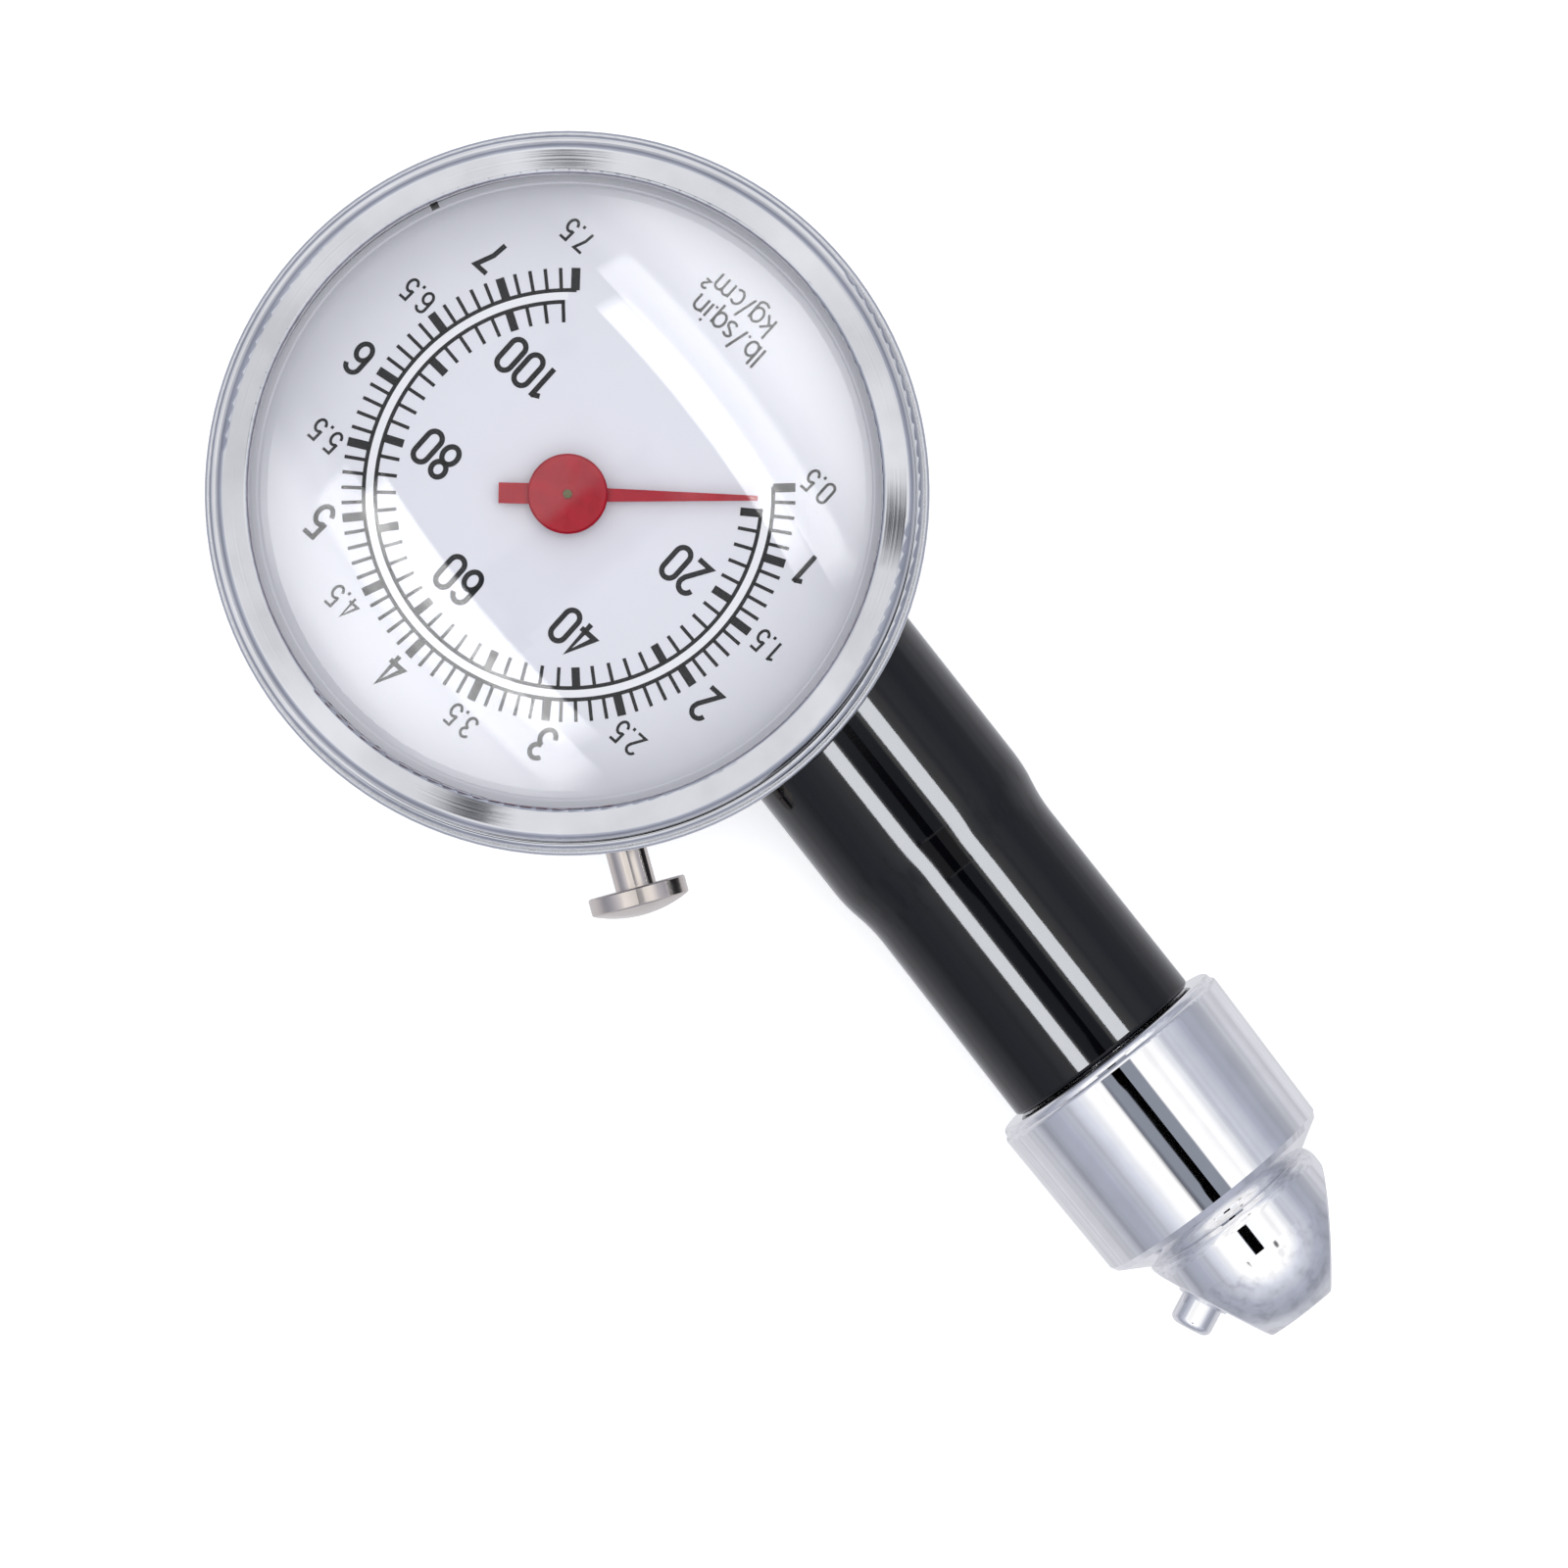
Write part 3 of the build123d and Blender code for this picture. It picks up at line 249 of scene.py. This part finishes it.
def rubber(name, colour, roughness, grain):
    """Moulded rubber with a fine skin, whose grain is in millimetres."""
    finish, tree, shader = principled(name, colour, 0.0, roughness)
    shader.inputs["Specular IOR Level"].default_value = 0.44
    patches = noise(tree, 180, 5)
    lighter = tuple(channel * 1.5 for channel in colour)
    tree.links.new(blend_colours(tree, patches, colour, lighter), shader.inputs["Base Color"])
    tree.links.new(vary(tree, patches, roughness * 0.9, roughness * 1.15), shader.inputs["Roughness"])
    bump(tree, shader, noise(tree, 5200, 2), grain * MM)
    return finish


def enamel(name, colour, roughness, shine=0.5):
    """Smooth paint with the faintest mottling."""
    finish, tree, shader = principled(name, colour, 0.0, roughness)
    shader.inputs["Specular IOR Level"].default_value = shine
    darker = tuple(channel * 0.985 for channel in colour)
    tree.links.new(blend_colours(tree, noise(tree, 400), darker, colour), shader.inputs["Base Color"])
    bump(tree, shader, noise(tree, 1800, 2), 0.002 * MM)
    return finish


def lacquer(name, colour, roughness):
    """Glossy red lacquer on pressed brass, with fine specks."""
    finish, tree, shader = principled(name, colour, 0.0, roughness)
    darker = tuple(channel * 0.8 for channel in colour)
    tree.links.new(blend_colours(tree, noise(tree, 900, 5), darker, colour), shader.inputs["Base Color"])
    shader.inputs["Specular IOR Level"].default_value = 0.25
    shader.inputs["Coat Weight"].default_value = 0.2
    shader.inputs["Coat Roughness"].default_value = 0.06
    bump(tree, shader, noise(tree, 1500, 4), 0.05 * MM)
    return finish


def clear(name):
    """Clear polished plastic."""
    finish, _, shader = principled(name, (0.985, 0.99, 1.0), 0.0, 0.0)
    shader.inputs["Transmission Weight"].default_value = 1.0
    shader.inputs["IOR"].default_value = 1.49
    shader.inputs["Specular Tint"].default_value = (0.45, 0.45, 0.45, 1)
    return finish


CHROME = plated("chrome", (0.87, 0.87, 0.885), 0.03, 0.006)
BEZEL_CHROME = turned("bezel_chrome", (0.62, 0.63, 0.67), 0.05, 0.004)
NICKEL = plated("warm_nickel", (0.68, 0.62, 0.58), 0.16, 0.01)
CASE_STEEL = brushed("case_steel", (0.66, 0.67, 0.7), 0.28, (1, 1, 0.05))
BRASS = brushed("turned_brass", (0.78, 0.6, 0.3), 0.3, (1, 1, 0.2))
AGED_BRASS = brushed("aged_brass", (0.16, 0.15, 0.08), 0.4, (1, 1, 1))
BRONZE = brushed("drawn_bronze", (0.72, 0.47, 0.3), 0.32, (1, 1, 0.05))
STEEL = brushed("zinc_steel", (0.62, 0.62, 0.63), 0.3, (1, 0.1, 1))
GRIP_RUBBER = rubber("grip_rubber", (0.0012, 0.0013, 0.002), 0.062, 0.0006)
GASKET_RUBBER = rubber("gasket_rubber", (0.012, 0.012, 0.013), 0.5, 0.006)
DIAL_WHITE = enamel("dial_white", (0.72, 0.722, 0.77), 0.45)
BAND_WHITE = enamel("band_white", (0.82, 0.82, 0.84), 0.45)
INK = enamel("black_ink", (0.006, 0.0065, 0.009), 0.55, 0.08)
GREY_INK = enamel("grey_ink", (0.02, 0.0205, 0.024), 0.5, 0.08)
RED = lacquer("red_lacquer", (0.4, 0.006, 0.02), 0.3)
CLEAR = clear("clear_window")

FINISHES = {
    "bezel_ring": BEZEL_CHROME,
    "case_cup": CASE_STEEL,
    "lens": CLEAR,
    "lens_gasket": GASKET_RUBBER,
    "bleed_seal": GASKET_RUBBER,
    "chuck_seal": GASKET_RUBBER,
    "dial_plate": DIAL_WHITE,
    "pointer": RED,
    "pointer_hub": RED,
    "pinion_arbor": AGED_BRASS,
    "bleed_button": NICKEL,
    "grip": GRIP_RUBBER,
    "ferrule": CHROME,
    "chuck_body": CHROME,
    "nib": CHROME,
    "inlet_stem": STEEL,
    "socket_screws": STEEL,
    "pillar_screws": STEEL,
    "arm_screws": STEEL,
    "bleed_spring": STEEL,
    "check_spring": STEEL,
    "check_ball": STEEL,
    "bourdon_tube": BRONZE,
    "hairspring": BRONZE,
}


def dress_nodes():
    """Gives each CAD node its finish; what isn't named is turned brass."""
    for name, node in NODES.items():
        node.data.materials.clear()
        node.data.materials.append(FINISHES.get(name, BRASS))
    window = NODES["lens"]
    window.visible_shadow = False
    window.visible_diffuse = False
    window.visible_glossy = False


def press_spring(name):
    """Gives a coil spring its own copy of its mesh."""
    spring = NODES[name]
    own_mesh(spring)


# ---- dial printing -------------------------------------------------------------------------

INK_BOTTOM = DIAL_TOP + 0.005 * MM
INK_TOP = DIAL_TOP + 0.03 * MM
DIAL_UP = -80.2

# Each scale starts at a pressure and at an angle, and turns by so many degrees for each unit of pressure.
KG_FIRST, KG_LAST, KG_START, KG_STEP = 0.5, 7.5, 53.7, -39.12
PSI_FIRST, PSI_LAST, PSI_START, PSI_STEP = 10, 106, 46.3, -2.739

INNER_ARC, OUTER_ARC, ARC_LINE = 14.38 * MM, 15.24 * MM, 0.29 * MM
KG_TICK_END, PSI_TICK_END = 16.9 * MM, 12.85 * MM
KG_MAJOR, PSI_MAJOR, MINOR = 0.66 * MM, 0.62 * MM, 0.26 * MM

# Lettering: how far its middle is from the dial's centre, its height and its stroke.
KG_NUMBER_R, KG_LAST_NUMBER_R = 18.6 * MM, 19.3 * MM
KG_WHOLE = (2.85 * MM, 0.37 * MM)
KG_HALF = (1.85 * MM, 0.21 * MM)
PSI_NUMBER_R, PSI_LAST_NUMBER_R = 10.3 * MM, 9.85 * MM
PSI_NUMBER = (3.05 * MM, 0.4 * MM)
LB_UNIT_R, LB_UNIT_SHIFT = 17.05 * MM, 0.55 * MM
LB_UNIT = (1.7 * MM, 0.2 * MM)
KG_UNIT_R = 19.2 * MM
KG_UNIT = (1.7 * MM, 0.19 * MM)


def kg_angle(value):
    """Where a pressure in kg/cm2 stands on the dial, in plan degrees."""
    return KG_START + KG_STEP * (value - KG_FIRST)


def psi_angle(value):
    """Where a pressure in lb/sq.in stands on the dial, in plan degrees."""
    return PSI_START + PSI_STEP * (value - PSI_FIRST)


def arc_points(radius, start, end):
    """Points along an arc about the dial's centre, about a degree apart."""
    count = round(abs(end - start))
    return [unit(start + (end - start) * n / count) * radius for n in range(count + 1)]


def tick(layer, angle, inner, outer, width):
    """Adds one radial tick."""
    layer.strip([unit(angle) * inner, unit(angle) * outer], width)


def print_scales():
    """The two arcs, their ticks and the white band between them."""
    layer = Print()
    layer.strip(arc_points(OUTER_ARC, kg_angle(KG_FIRST - 0.01), kg_angle(KG_LAST + 0.01)), ARC_LINE)
    layer.strip(arc_points(INNER_ARC, psi_angle(PSI_FIRST - 0.5), psi_angle(PSI_LAST + 0.2)), ARC_LINE)
    for tenth in range(round(10 * KG_FIRST), round(10 * KG_LAST) + 1):
        width = KG_MAJOR if tenth % 5 == 0 else MINOR
        tick(layer, kg_angle(tenth / 10), OUTER_ARC, KG_TICK_END, width)
    for psi in range(PSI_FIRST, PSI_LAST + 1, 2):
        width = PSI_MAJOR if psi % 10 == 0 else MINOR
        tick(layer, psi_angle(psi), INNER_ARC, PSI_TICK_END, width)
    layer.done("scale_marks", INK)
    band = Print()
    middle = (INNER_ARC + OUTER_ARC) / 2
    gap = OUTER_ARC - INNER_ARC - ARC_LINE
    band.strip(arc_points(middle, kg_angle(KG_FIRST - 0.01), kg_angle(KG_LAST - 0.05)), gap)
    band.done("scale_band", BAND_WHITE)


def curve(cx, cy, rx, ry, start, end, spans=12):
    """Points along an elliptical arc, in a glyph's own units and degrees."""
    angles = [math.radians(start + (end - start) * n / spans) for n in range(spans + 1)]
    return [Vector((cx + rx * math.cos(a), cy + ry * math.sin(a))) for a in angles]


def ellipse(cx, cy, rx, ry):
    """Points round a whole ellipse, for a closed stroke."""
    return curve(cx, cy, rx, ry, 0, 360, 24)[:-1]


def run(*points):
    """Straight strokes through points, in a glyph's own units."""
    return [Vector(p) for p in points]


def digits():
    """Condensed numerals: each one's strokes as (points, closed) and its advance, in figure heights."""
    wide, tall, mid = 0.38, 0.88, 0.47
    r = wide / 2
    bowl = 0.2
    ring = curve(r, tall - bowl, r, bowl, 0, 180) + curve(r, bowl, r, bowl, 180, 360)
    low_bowl = ellipse(r, 0.24, r, 0.24)
    top_bowl = ellipse(r, tall - 0.2, r * 0.93, 0.2)
    hook = curve(r, tall - bowl, r, bowl, 170, 0)
    three_top = curve(r * 0.95, tall - 0.19, r * 0.95, 0.19, 165, -90)
    three_low = curve(r, 0.24, r, 0.24, 90, -160)
    six_back = curve(r, tall - bowl, r, bowl, 15, 180)
    one_flag = run((0.25, tall - 0.05), (0.06, tall - 0.15))
    five_top = run((wide - 0.03, tall), (0.04, tall), (0.02, mid))
    five_bowl = curve(r, 0.26, r, 0.27, 130, -165)
    return {
        "0": ([(ring, True)], 0.56),
        "1": ([(run((0.24, 0), (0.24, tall)), False), (one_flag, False)], 0.5),
        "2": ([(hook + run((wide - 0.03, 0.56), (0, 0.0), (wide, 0.0)), False)], 0.55),
        "3": ([(three_top, False), (three_low, False)], 0.56),
        "4": ([(run((0.31, 0), (0.31, tall), (0.0, 0.22), (0.44, 0.22)), False)], 0.58),
        "5": ([(five_top + five_bowl, False)], 0.56),
        "6": ([(low_bowl, True), (six_back + run((0, 0.24)), False)], 0.56),
        "7": ([(run((0, tall), (wide, tall), (0.17, 0.4), (0.12, 0)), False)], 0.52),
        "8": ([(ellipse(r, 0.235, r, 0.235), True), (top_bowl, True)], 0.56),
        ".": ([(run((0.06, -0.06), (0.06, 0.07)), False)], 0.26),
    }


def letters():
    """Light upright letters, as the numerals are, in heights of the tall letters."""
    x_tall = 0.68
    r = 0.25
    tall_stem, short_stem = run((0, 0), (0, 1)), run((0, 0), (0, x_tall))
    o_ring = ellipse(r, x_tall / 2, r, x_tall / 2)
    n_arch = curve(0.22, x_tall - 0.22, 0.22, 0.22, 180, 0) + run((0.44, 0))
    m_arches = [
        (curve(x, x_tall - 0.19, 0.19, 0.19, 180, 0) + run((x + 0.19, 0)), False)
        for x in (0.19, 0.57)
    ]
    s_top = curve(0.2, x_tall - 0.16, 0.19, 0.16, 30, 180, 8)
    s_low = curve(0.21, 0.17, 0.2, 0.17, 75, -150, 10)
    k_arm, k_leg = run((0.42, x_tall), (0, 0.24)), run((0.14, 0.38), (0.44, 0))
    g_hook = run((0.5, x_tall), (0.5, -0.1)) + curve(0.26, -0.1, 0.24, 0.18, 0, -150, 8)
    two = curve(0.14, 0.94, 0.12, 0.11, 170, 0, 8) + run((0.24, 0.86), (0.02, 0.64), (0.27, 0.64))
    return {
        "l": ([(tall_stem, False)], 0.24),
        "b": ([(tall_stem, False), (o_ring, True)], 0.68),
        ".": ([(run((0, -0.04), (0, 0.07)), False)], 0.2),
        "/": ([(run((0, -0.08), (0.3, 1.04)), False)], 0.46),
        "s": ([(s_top + s_low, False)], 0.56),
        "q": ([(o_ring, True), (run((0.5, -0.3), (0.5, x_tall)), False)], 0.7),
        "i": ([(short_stem, False), (run((0, 0.84), (0, 0.96)), False)], 0.24),
        "n": ([(short_stem, False), (n_arch, False)], 0.62),
        "k": ([(tall_stem, False), (k_arm, False), (k_leg, False)], 0.58),
        "g": ([(o_ring, True), (g_hook, False)], 0.7),
        "c": ([(curve(r, x_tall / 2, r, x_tall / 2, 45, 315), False)], 0.62),
        "m": ([(short_stem, False), *m_arches], 0.92),
        "2": ([(two, False)], 0.3),
    }


def write(layer, text, centre, height, stroke, glyphs):
    """Adds a line of text, upright on the dial and centred on a point."""
    across, up = unit(DIAL_UP - 90), unit(DIAL_UP)
    last_gap = 0.17
    pen = (last_gap - sum(glyphs[c][1] for c in text)) / 2
    drop = stroke / height / 2 - 0.5
    for c in text:
        strokes, advance = glyphs[c]
        for points, closed in strokes:
            placed = [centre + (across * (pen + p.x) + up * (p.y + drop)) * height for p in points]
            layer.strip(placed, stroke, closed)
        pen += advance


def print_numbers():
    """Numbers for both scales, the outer one's half values small and thin."""
    figures = digits()
    outer = Print()
    halves = range(round(2 * KG_FIRST), round(2 * KG_LAST) + 1)
    for half in halves:
        value = half / 2
        whole = half % 2 == 0
        text = f"{value:.0f}" if whole else f"{value:.1f}"
        radius = KG_LAST_NUMBER_R if half == halves[-1] else KG_NUMBER_R
        write(outer, text, unit(kg_angle(value)) * radius, *(KG_WHOLE if whole else KG_HALF), figures)
    outer.done("kg_numbers", INK)
    inner = Print()
    for psi in range(20, 101, 20):
        radius = PSI_LAST_NUMBER_R if psi == 100 else PSI_NUMBER_R
        write(inner, str(psi), unit(psi_angle(psi)) * radius, *PSI_NUMBER, figures)
    inner.done("psi_numbers", INK)


def print_units():
    """The two scales' units, in the gap between the ends of the scales."""
    light = letters()
    layer = Print()
    across, up = unit(DIAL_UP - 90), unit(DIAL_UP)
    write(layer, "lb./sq.in", -up * LB_UNIT_R - across * LB_UNIT_SHIFT, *LB_UNIT, light)
    write(layer, "kg/cm2", -up * KG_UNIT_R, *KG_UNIT, light)
    layer.done("unit_names", GREY_INK)


# ---- studio --------------------------------------------------------------------------------

# Heights of the lamps and cards, in metres. No two that overlap in plan are at the same height.
GRIP_STRIP_Z = 0.6
WINDOW_STRIP_Z = 0.64
WINDOW_VEIL_Z = 0.65
BROAD_Z = 0.7
NOSE_FILL_Z = 1.9
GREY_Z = 1.95
BLIND_Z = 2.0

FLOOR_REACH = 12.0
FLOOR_Z = CASE_BACK_Z - 0.05 * MM


def make_floor():
    """A wide white floor. Bright metal doesn't mirror it, but the grey of the sky's lower half."""
    quarters = ((-1, -1), (1, -1), (1, 1), (-1, 1))
    corners = [(x * FLOOR_REACH, y * FLOOR_REACH, FLOOR_Z) for x, y in quarters]
    floor = mesh_object("floor", corners, [(0, 1, 2, 3)])
    finish, _, shader = principled("pale_floor", (0.9, 0.9, 0.9), 0.0, 1.0)
    shader.inputs["Emission Color"].default_value = (1, 1, 1, 1)
    shader.inputs["Emission Strength"].default_value = 0.5
    shader.inputs["Specular IOR Level"].default_value = 0.0
    floor.data.materials.append(finish)
    floor.visible_glossy = False


def softbox(name, x_range, y_range, height, radiance):
    """A rectangular lamp of one brightness that faces straight down."""
    data = bpy.data.lights.new(name, "AREA")
    data.shape = "RECTANGLE"
    data.size = x_range[1] - x_range[0]
    data.size_y = y_range[1] - y_range[0]
    data.energy = radiance * math.pi * data.size * data.size_y
    lamp = bpy.data.objects.new(name, data)
    lamp.location = (sum(x_range) / 2, sum(y_range) / 2, height)
    lamp.visible_camera = False
    bpy.context.scene.collection.objects.link(lamp)
    return lamp


def mirror_lamp(name, piece, x_range, y_range, height, radiance):
    """A softbox that is seen only in one bright piece."""
    lamp = softbox(name, x_range, y_range, height, radiance)
    lamp.visible_diffuse = False
    link_to(lamp, NODES[piece], "INCLUDE")
    return lamp


def card(name, x_range, y_range, height):
    """A flat card overhead, which only bright surfaces see."""
    (x0, x1), (y0, y1) = x_range, y_range
    corners = [(x0, y0, height), (x0, y1, height), (x1, y1, height), (x1, y0, height)]
    obj = mesh_object(name, corners, [(0, 1, 2, 3)])
    for sense in ("visible_camera", "visible_diffuse", "visible_shadow", "visible_transmission"):
        setattr(obj, sense, False)
    return obj


def glow(name, strength, across=(), along=()):
    """Light from a card. With steps across and along it, the light fades and the card itself is clear."""
    finish = bpy.data.materials.new(name)
    finish.use_nodes = True
    tree = finish.node_tree
    tree.nodes.remove(tree.nodes["Principled BSDF"])
    light = tree.nodes.new("ShaderNodeEmission")
    light.inputs["Strength"].default_value = strength
    surface = light.outputs["Emission"]
    if across:
        split = tree.nodes.new("ShaderNodeSeparateXYZ")
        tree.links.new(tree.nodes.new("ShaderNodeTexCoord").outputs["Generated"], split.inputs["Vector"])
        width = steps(tree, split.outputs["Y"], 0.0, 1.0, across)
        length = steps(tree, split.outputs["X"], 0.0, 1.0, along)
        tree.links.new(mix(tree, 1.0, width, length, "MULTIPLY"), light.inputs["Color"])
        both = tree.nodes.new("ShaderNodeAddShader")
        tree.links.new(surface, both.inputs[0])
        tree.links.new(tree.nodes.new("ShaderNodeBsdfTransparent").outputs["BSDF"], both.inputs[1])
        surface = both.outputs["Shader"]
    tree.links.new(surface, tree.nodes["Material Output"].inputs["Surface"])
    return finish


def link_to(lamp, piece, state):
    """Makes a lamp light one piece only, or all but that piece."""
    group = bpy.data.collections.new(lamp.name + "_pieces")
    group.objects.link(piece)
    lamp.light_linking.receiver_collection = group
    group.collection_objects[0].light_linking.link_state = state


def maths(tree, operation, first, second):
    """A Math node's result; each input is a socket or a number."""
    node = tree.nodes.new("ShaderNodeMath")
    node.operation = operation
    for socket, value in zip(node.inputs, (first, second)):
        if isinstance(value, float):
            socket.default_value = value
        else:
            tree.links.new(value, socket)
    return node.outputs["Value"]


def steps(tree, value, low, high, stops):
    """A colour from a value between two limits: stops are (value, grey level or colour)."""
    spread = tree.nodes.new("ShaderNodeMapRange")
    spread.inputs["From Min"].default_value = low
    spread.inputs["From Max"].default_value = high
    tree.links.new(value, spread.inputs["Value"])
    ramp = tree.nodes.new("ShaderNodeValToRGB")
    elements = ramp.color_ramp.elements
    while len(elements) < len(stops):
        elements.new(0.5)
    for element, (at, level) in zip(elements, stops):
        colour = level if isinstance(level, tuple) else (level, level, level)
        element.position = (at - low) / (high - low)
        element.color = (*colour, 1)
    tree.links.new(spread.outputs["Result"], ramp.inputs["Fac"])
    return ramp.outputs["Color"]


def mix(tree, factor, first, second, blend="MIX"):
    """A mix of two colours, each a socket or a plain colour."""
    node = tree.nodes.new("ShaderNodeMix")
    node.data_type = "RGBA"
    node.blend_type = blend
    if isinstance(factor, float):
        node.inputs["Factor"].default_value = factor
    else:
        tree.links.new(factor, node.inputs["Factor"])
    for name, value in (("A", first), ("B", second)):
        socket = next(i for i in node.inputs if i.name == name and i.type == "RGBA")
        if isinstance(value, tuple):
            socket.default_value = (*value, 1)
        else:
            tree.links.new(value, socket)
    return next(o for o in node.outputs if o.type == "RGBA")


SKY_FULL = 1.2

# The sky's colour, as a share of SKY_FULL, by the height of a direction: 1 straight up, -1 straight down.
SKY_LEVELS = [
    (-1.0, (0.62, 0.625, 0.66)),
    (-0.52, (0.61, 0.615, 0.66)),
    (-0.26, (0.53, 0.54, 0.59)),
    (-0.03, (0.35, 0.365, 0.42)),
    (0.17, (0.34, 0.36, 0.43)),
    (0.36, (0.39, 0.41, 0.49)),
    (0.52, (0.5, 0.52, 0.58)),
    (0.66, (0.6, 0.62, 0.7)),
    (0.77, (0.84, 0.85, 0.88)),
    (0.82, (1.0, 1.0, 1.0)),
]

# Marks in the sky are placed by lean: how far a direction goes along X or Y for each metre that it rises.
# The ferrule mirrors the grey patch, with a black bar in its middle. The bezel mirrors the spots.
PATCH_X = [(-0.03, 0.0), (0.0, 1.0), (0.17, 1.0), (0.2, 0.0)]
PATCH_Y = [(-0.37, 0.0), (-0.34, 1.0), (0.21, 1.0), (0.24, 0.0)]
PATCH_GREY = (0.24, 0.26, 0.31)
BAR_MIDDLE, BAR_REACH = (0.086, -0.035), (0.104, 0.108)
SPOTS = [((0.23, 0.315), 0.045), ((0.196, -0.341), 0.06), ((-0.4, 0.265), 0.045)]
SPOT_GREY = (0.05, 0.05, 0.06)


def make_sky():
    """A white sky, grey towards the horizon, with clouds, dark spots and a grey patch over the handle."""
    world = bpy.data.worlds.new("studio")
    world.use_nodes = True
    tree = world.node_tree
    direction = tree.nodes.new("ShaderNodeTexCoord").outputs["Generated"]
    split = tree.nodes.new("ShaderNodeSeparateXYZ")
    tree.links.new(direction, split.inputs["Vector"])
    height = split.outputs["Z"]
    lean_x = maths(tree, "DIVIDE", split.outputs["X"], height)
    lean_y = maths(tree, "DIVIDE", split.outputs["Y"], height)
    above = maths(tree, "GREATER_THAN", height, 0.2)
    sky = steps(tree, height, -1.0, 1.0, SKY_LEVELS)
    clouds = tree.nodes.new("ShaderNodeTexNoise")
    clouds.inputs["Scale"].default_value = 5.0
    clouds.inputs["Detail"].default_value = 2.0
    tree.links.new(direction, clouds.inputs["Vector"])
    haze = steps(tree, clouds.outputs["Fac"], 0.0, 1.0, [(0.32, 0.84), (0.47, 1.0), (0.7, 1.1)])
    sky = mix(tree, 1.0, sky, haze, "MULTIPLY")
    # the grey patch, and the bar in it, whose corners are rounded by the fourth powers
    ends = steps(tree, lean_x, -0.5, 0.5, PATCH_X)
    sides = steps(tree, lean_y, -0.6, 0.6, PATCH_Y)
    powers = []
    for lean, middle, reach in zip((lean_x, lean_y), BAR_MIDDLE, BAR_REACH):
        share = maths(tree, "DIVIDE", maths(tree, "SUBTRACT", lean, middle), reach)
        powers.append(maths(tree, "POWER", share, 4.0))
    bar = steps(tree, maths(tree, "ADD", *powers), 0.0, 2.0, [(0.85, 1.0), (1.15, 0.0)])
    patch = maths(tree, "MULTIPLY", maths(tree, "MULTIPLY", ends, sides), above)
    sky = mix(tree, patch, sky, mix(tree, bar, PATCH_GREY, (0.0, 0.0, 0.0)))
    # the spots, dark in the middle and soft at the edge
    for (x, y), radius in SPOTS:
        across = maths(tree, "POWER", maths(tree, "SUBTRACT", lean_x, x), 2.0)
        along = maths(tree, "POWER", maths(tree, "SUBTRACT", lean_y, y), 2.0)
        away = maths(tree, "POWER", maths(tree, "ADD", across, along), 0.5)
        dark = steps(tree, maths(tree, "DIVIDE", away, radius), 0.0, 2.0, [(0.5, 0.9), (1.5, 0.0)])
        sky = mix(tree, maths(tree, "MULTIPLY", dark, above), sky, SPOT_GREY)
    background = tree.nodes["Background"]
    background.inputs["Strength"].default_value = SKY_FULL
    tree.links.new(sky, background.inputs["Color"])
    bpy.context.scene.world = world


def light_window():
    """Strips along the handle that the window alone mirrors, each with a weak veil beyond it."""
    fade = [(0.0, 0.0), (0.08, 1.0), (0.7, 1.0), (1.0, 0.0)]
    ends = [(0.0, 0.0), (0.05, 1.0), (0.85, 1.0), (1.0, 0.0)]
    haze = [(0.0, 0.0), (0.15, 0.75), (0.5, 1.0), (0.85, 0.75), (1.0, 0.0)]
    for name, side, core, shine, beyond in (
        ("right", 1, (0.272, 0.35), 17.5, (0.37, 0.8)),
        ("left", -1, (0.258, 0.37), 19.0, (0.34, 0.72)),
    ):
        for kind, x_range, reach, height, strength, across, along in (
            ("strip", (-0.3, 0.42), core, WINDOW_STRIP_Z, shine, fade, ends),
            ("veil", (-0.68, 0.66), beyond, WINDOW_VEIL_Z, 8.0, haze, haze),
        ):
            y_range = reach
            if side < 0:
                y_range = (-reach[1], -reach[0])
                across = [(1 - at, level) for at, level in reversed(across)]
            strip = card(f"{kind}_{name}", x_range, y_range, height)
            strip.data.materials.append(glow(f"{kind}_{name}", strength, across, along))
            link_to(strip, NODES["lens"], "INCLUDE")


def light_grip():
    """The grip's two stripes, and what its step mirrors: a grey patch longer than the one in the sky."""
    for name, y_range in (("right", (0.186, 0.386)), ("left", (-0.425, -0.228))):
        strip = mirror_lamp("grip_strip_" + name, "grip", (-0.2, 0.45), y_range, GRIP_STRIP_Z, 17.0)
        strip.data.color = (0.95, 0.98, 1.04)
    # the blind is black to the grip and as bright as the sky to all else
    step_x = (0.42, 1.04)
    blind = card("grip_blind", step_x, (-0.71, 0.46), BLIND_Z)
    blind.data.materials.append(glow("blind_glow", SKY_FULL))
    link_to(blind, NODES["grip"], "EXCLUDE")
    for name, y_range in (("right", (0.15, 0.46)), ("left", (-0.71, -0.28))):
        mirror_lamp("grip_grey_" + name, "grip", step_x, y_range, GREY_Z, 0.3)


def light_nose():
    """Makes the grey patch as bright as the sky to the chuck, so that its nose mirrors the bar alone."""
    for name, y_range in (("right", (0.145, 0.447)), ("left", (-0.705, -0.284))):
        mirror_lamp("nose_fill_" + name, "chuck_body", (0.045, 0.442), y_range, NOSE_FILL_Z, 0.9)


def make_studio():
    """The floor, the sky, a broad lamp for matt surfaces, and the lamps that single pieces mirror."""
    make_floor()
    make_sky()
    broad = softbox("broad_lamp", (-0.15, 0.2), (-0.1, 0.25), BROAD_Z, 3.1)
    broad.visible_glossy = False
    light_window()
    light_grip()
    light_nose()
    bpy.context.scene.view_settings.view_transform = "Standard"


make_camera()
dress_nodes()
press_spring("bleed_spring")
press_spring("check_spring")
print_scales()
print_numbers()
print_units()
make_studio()
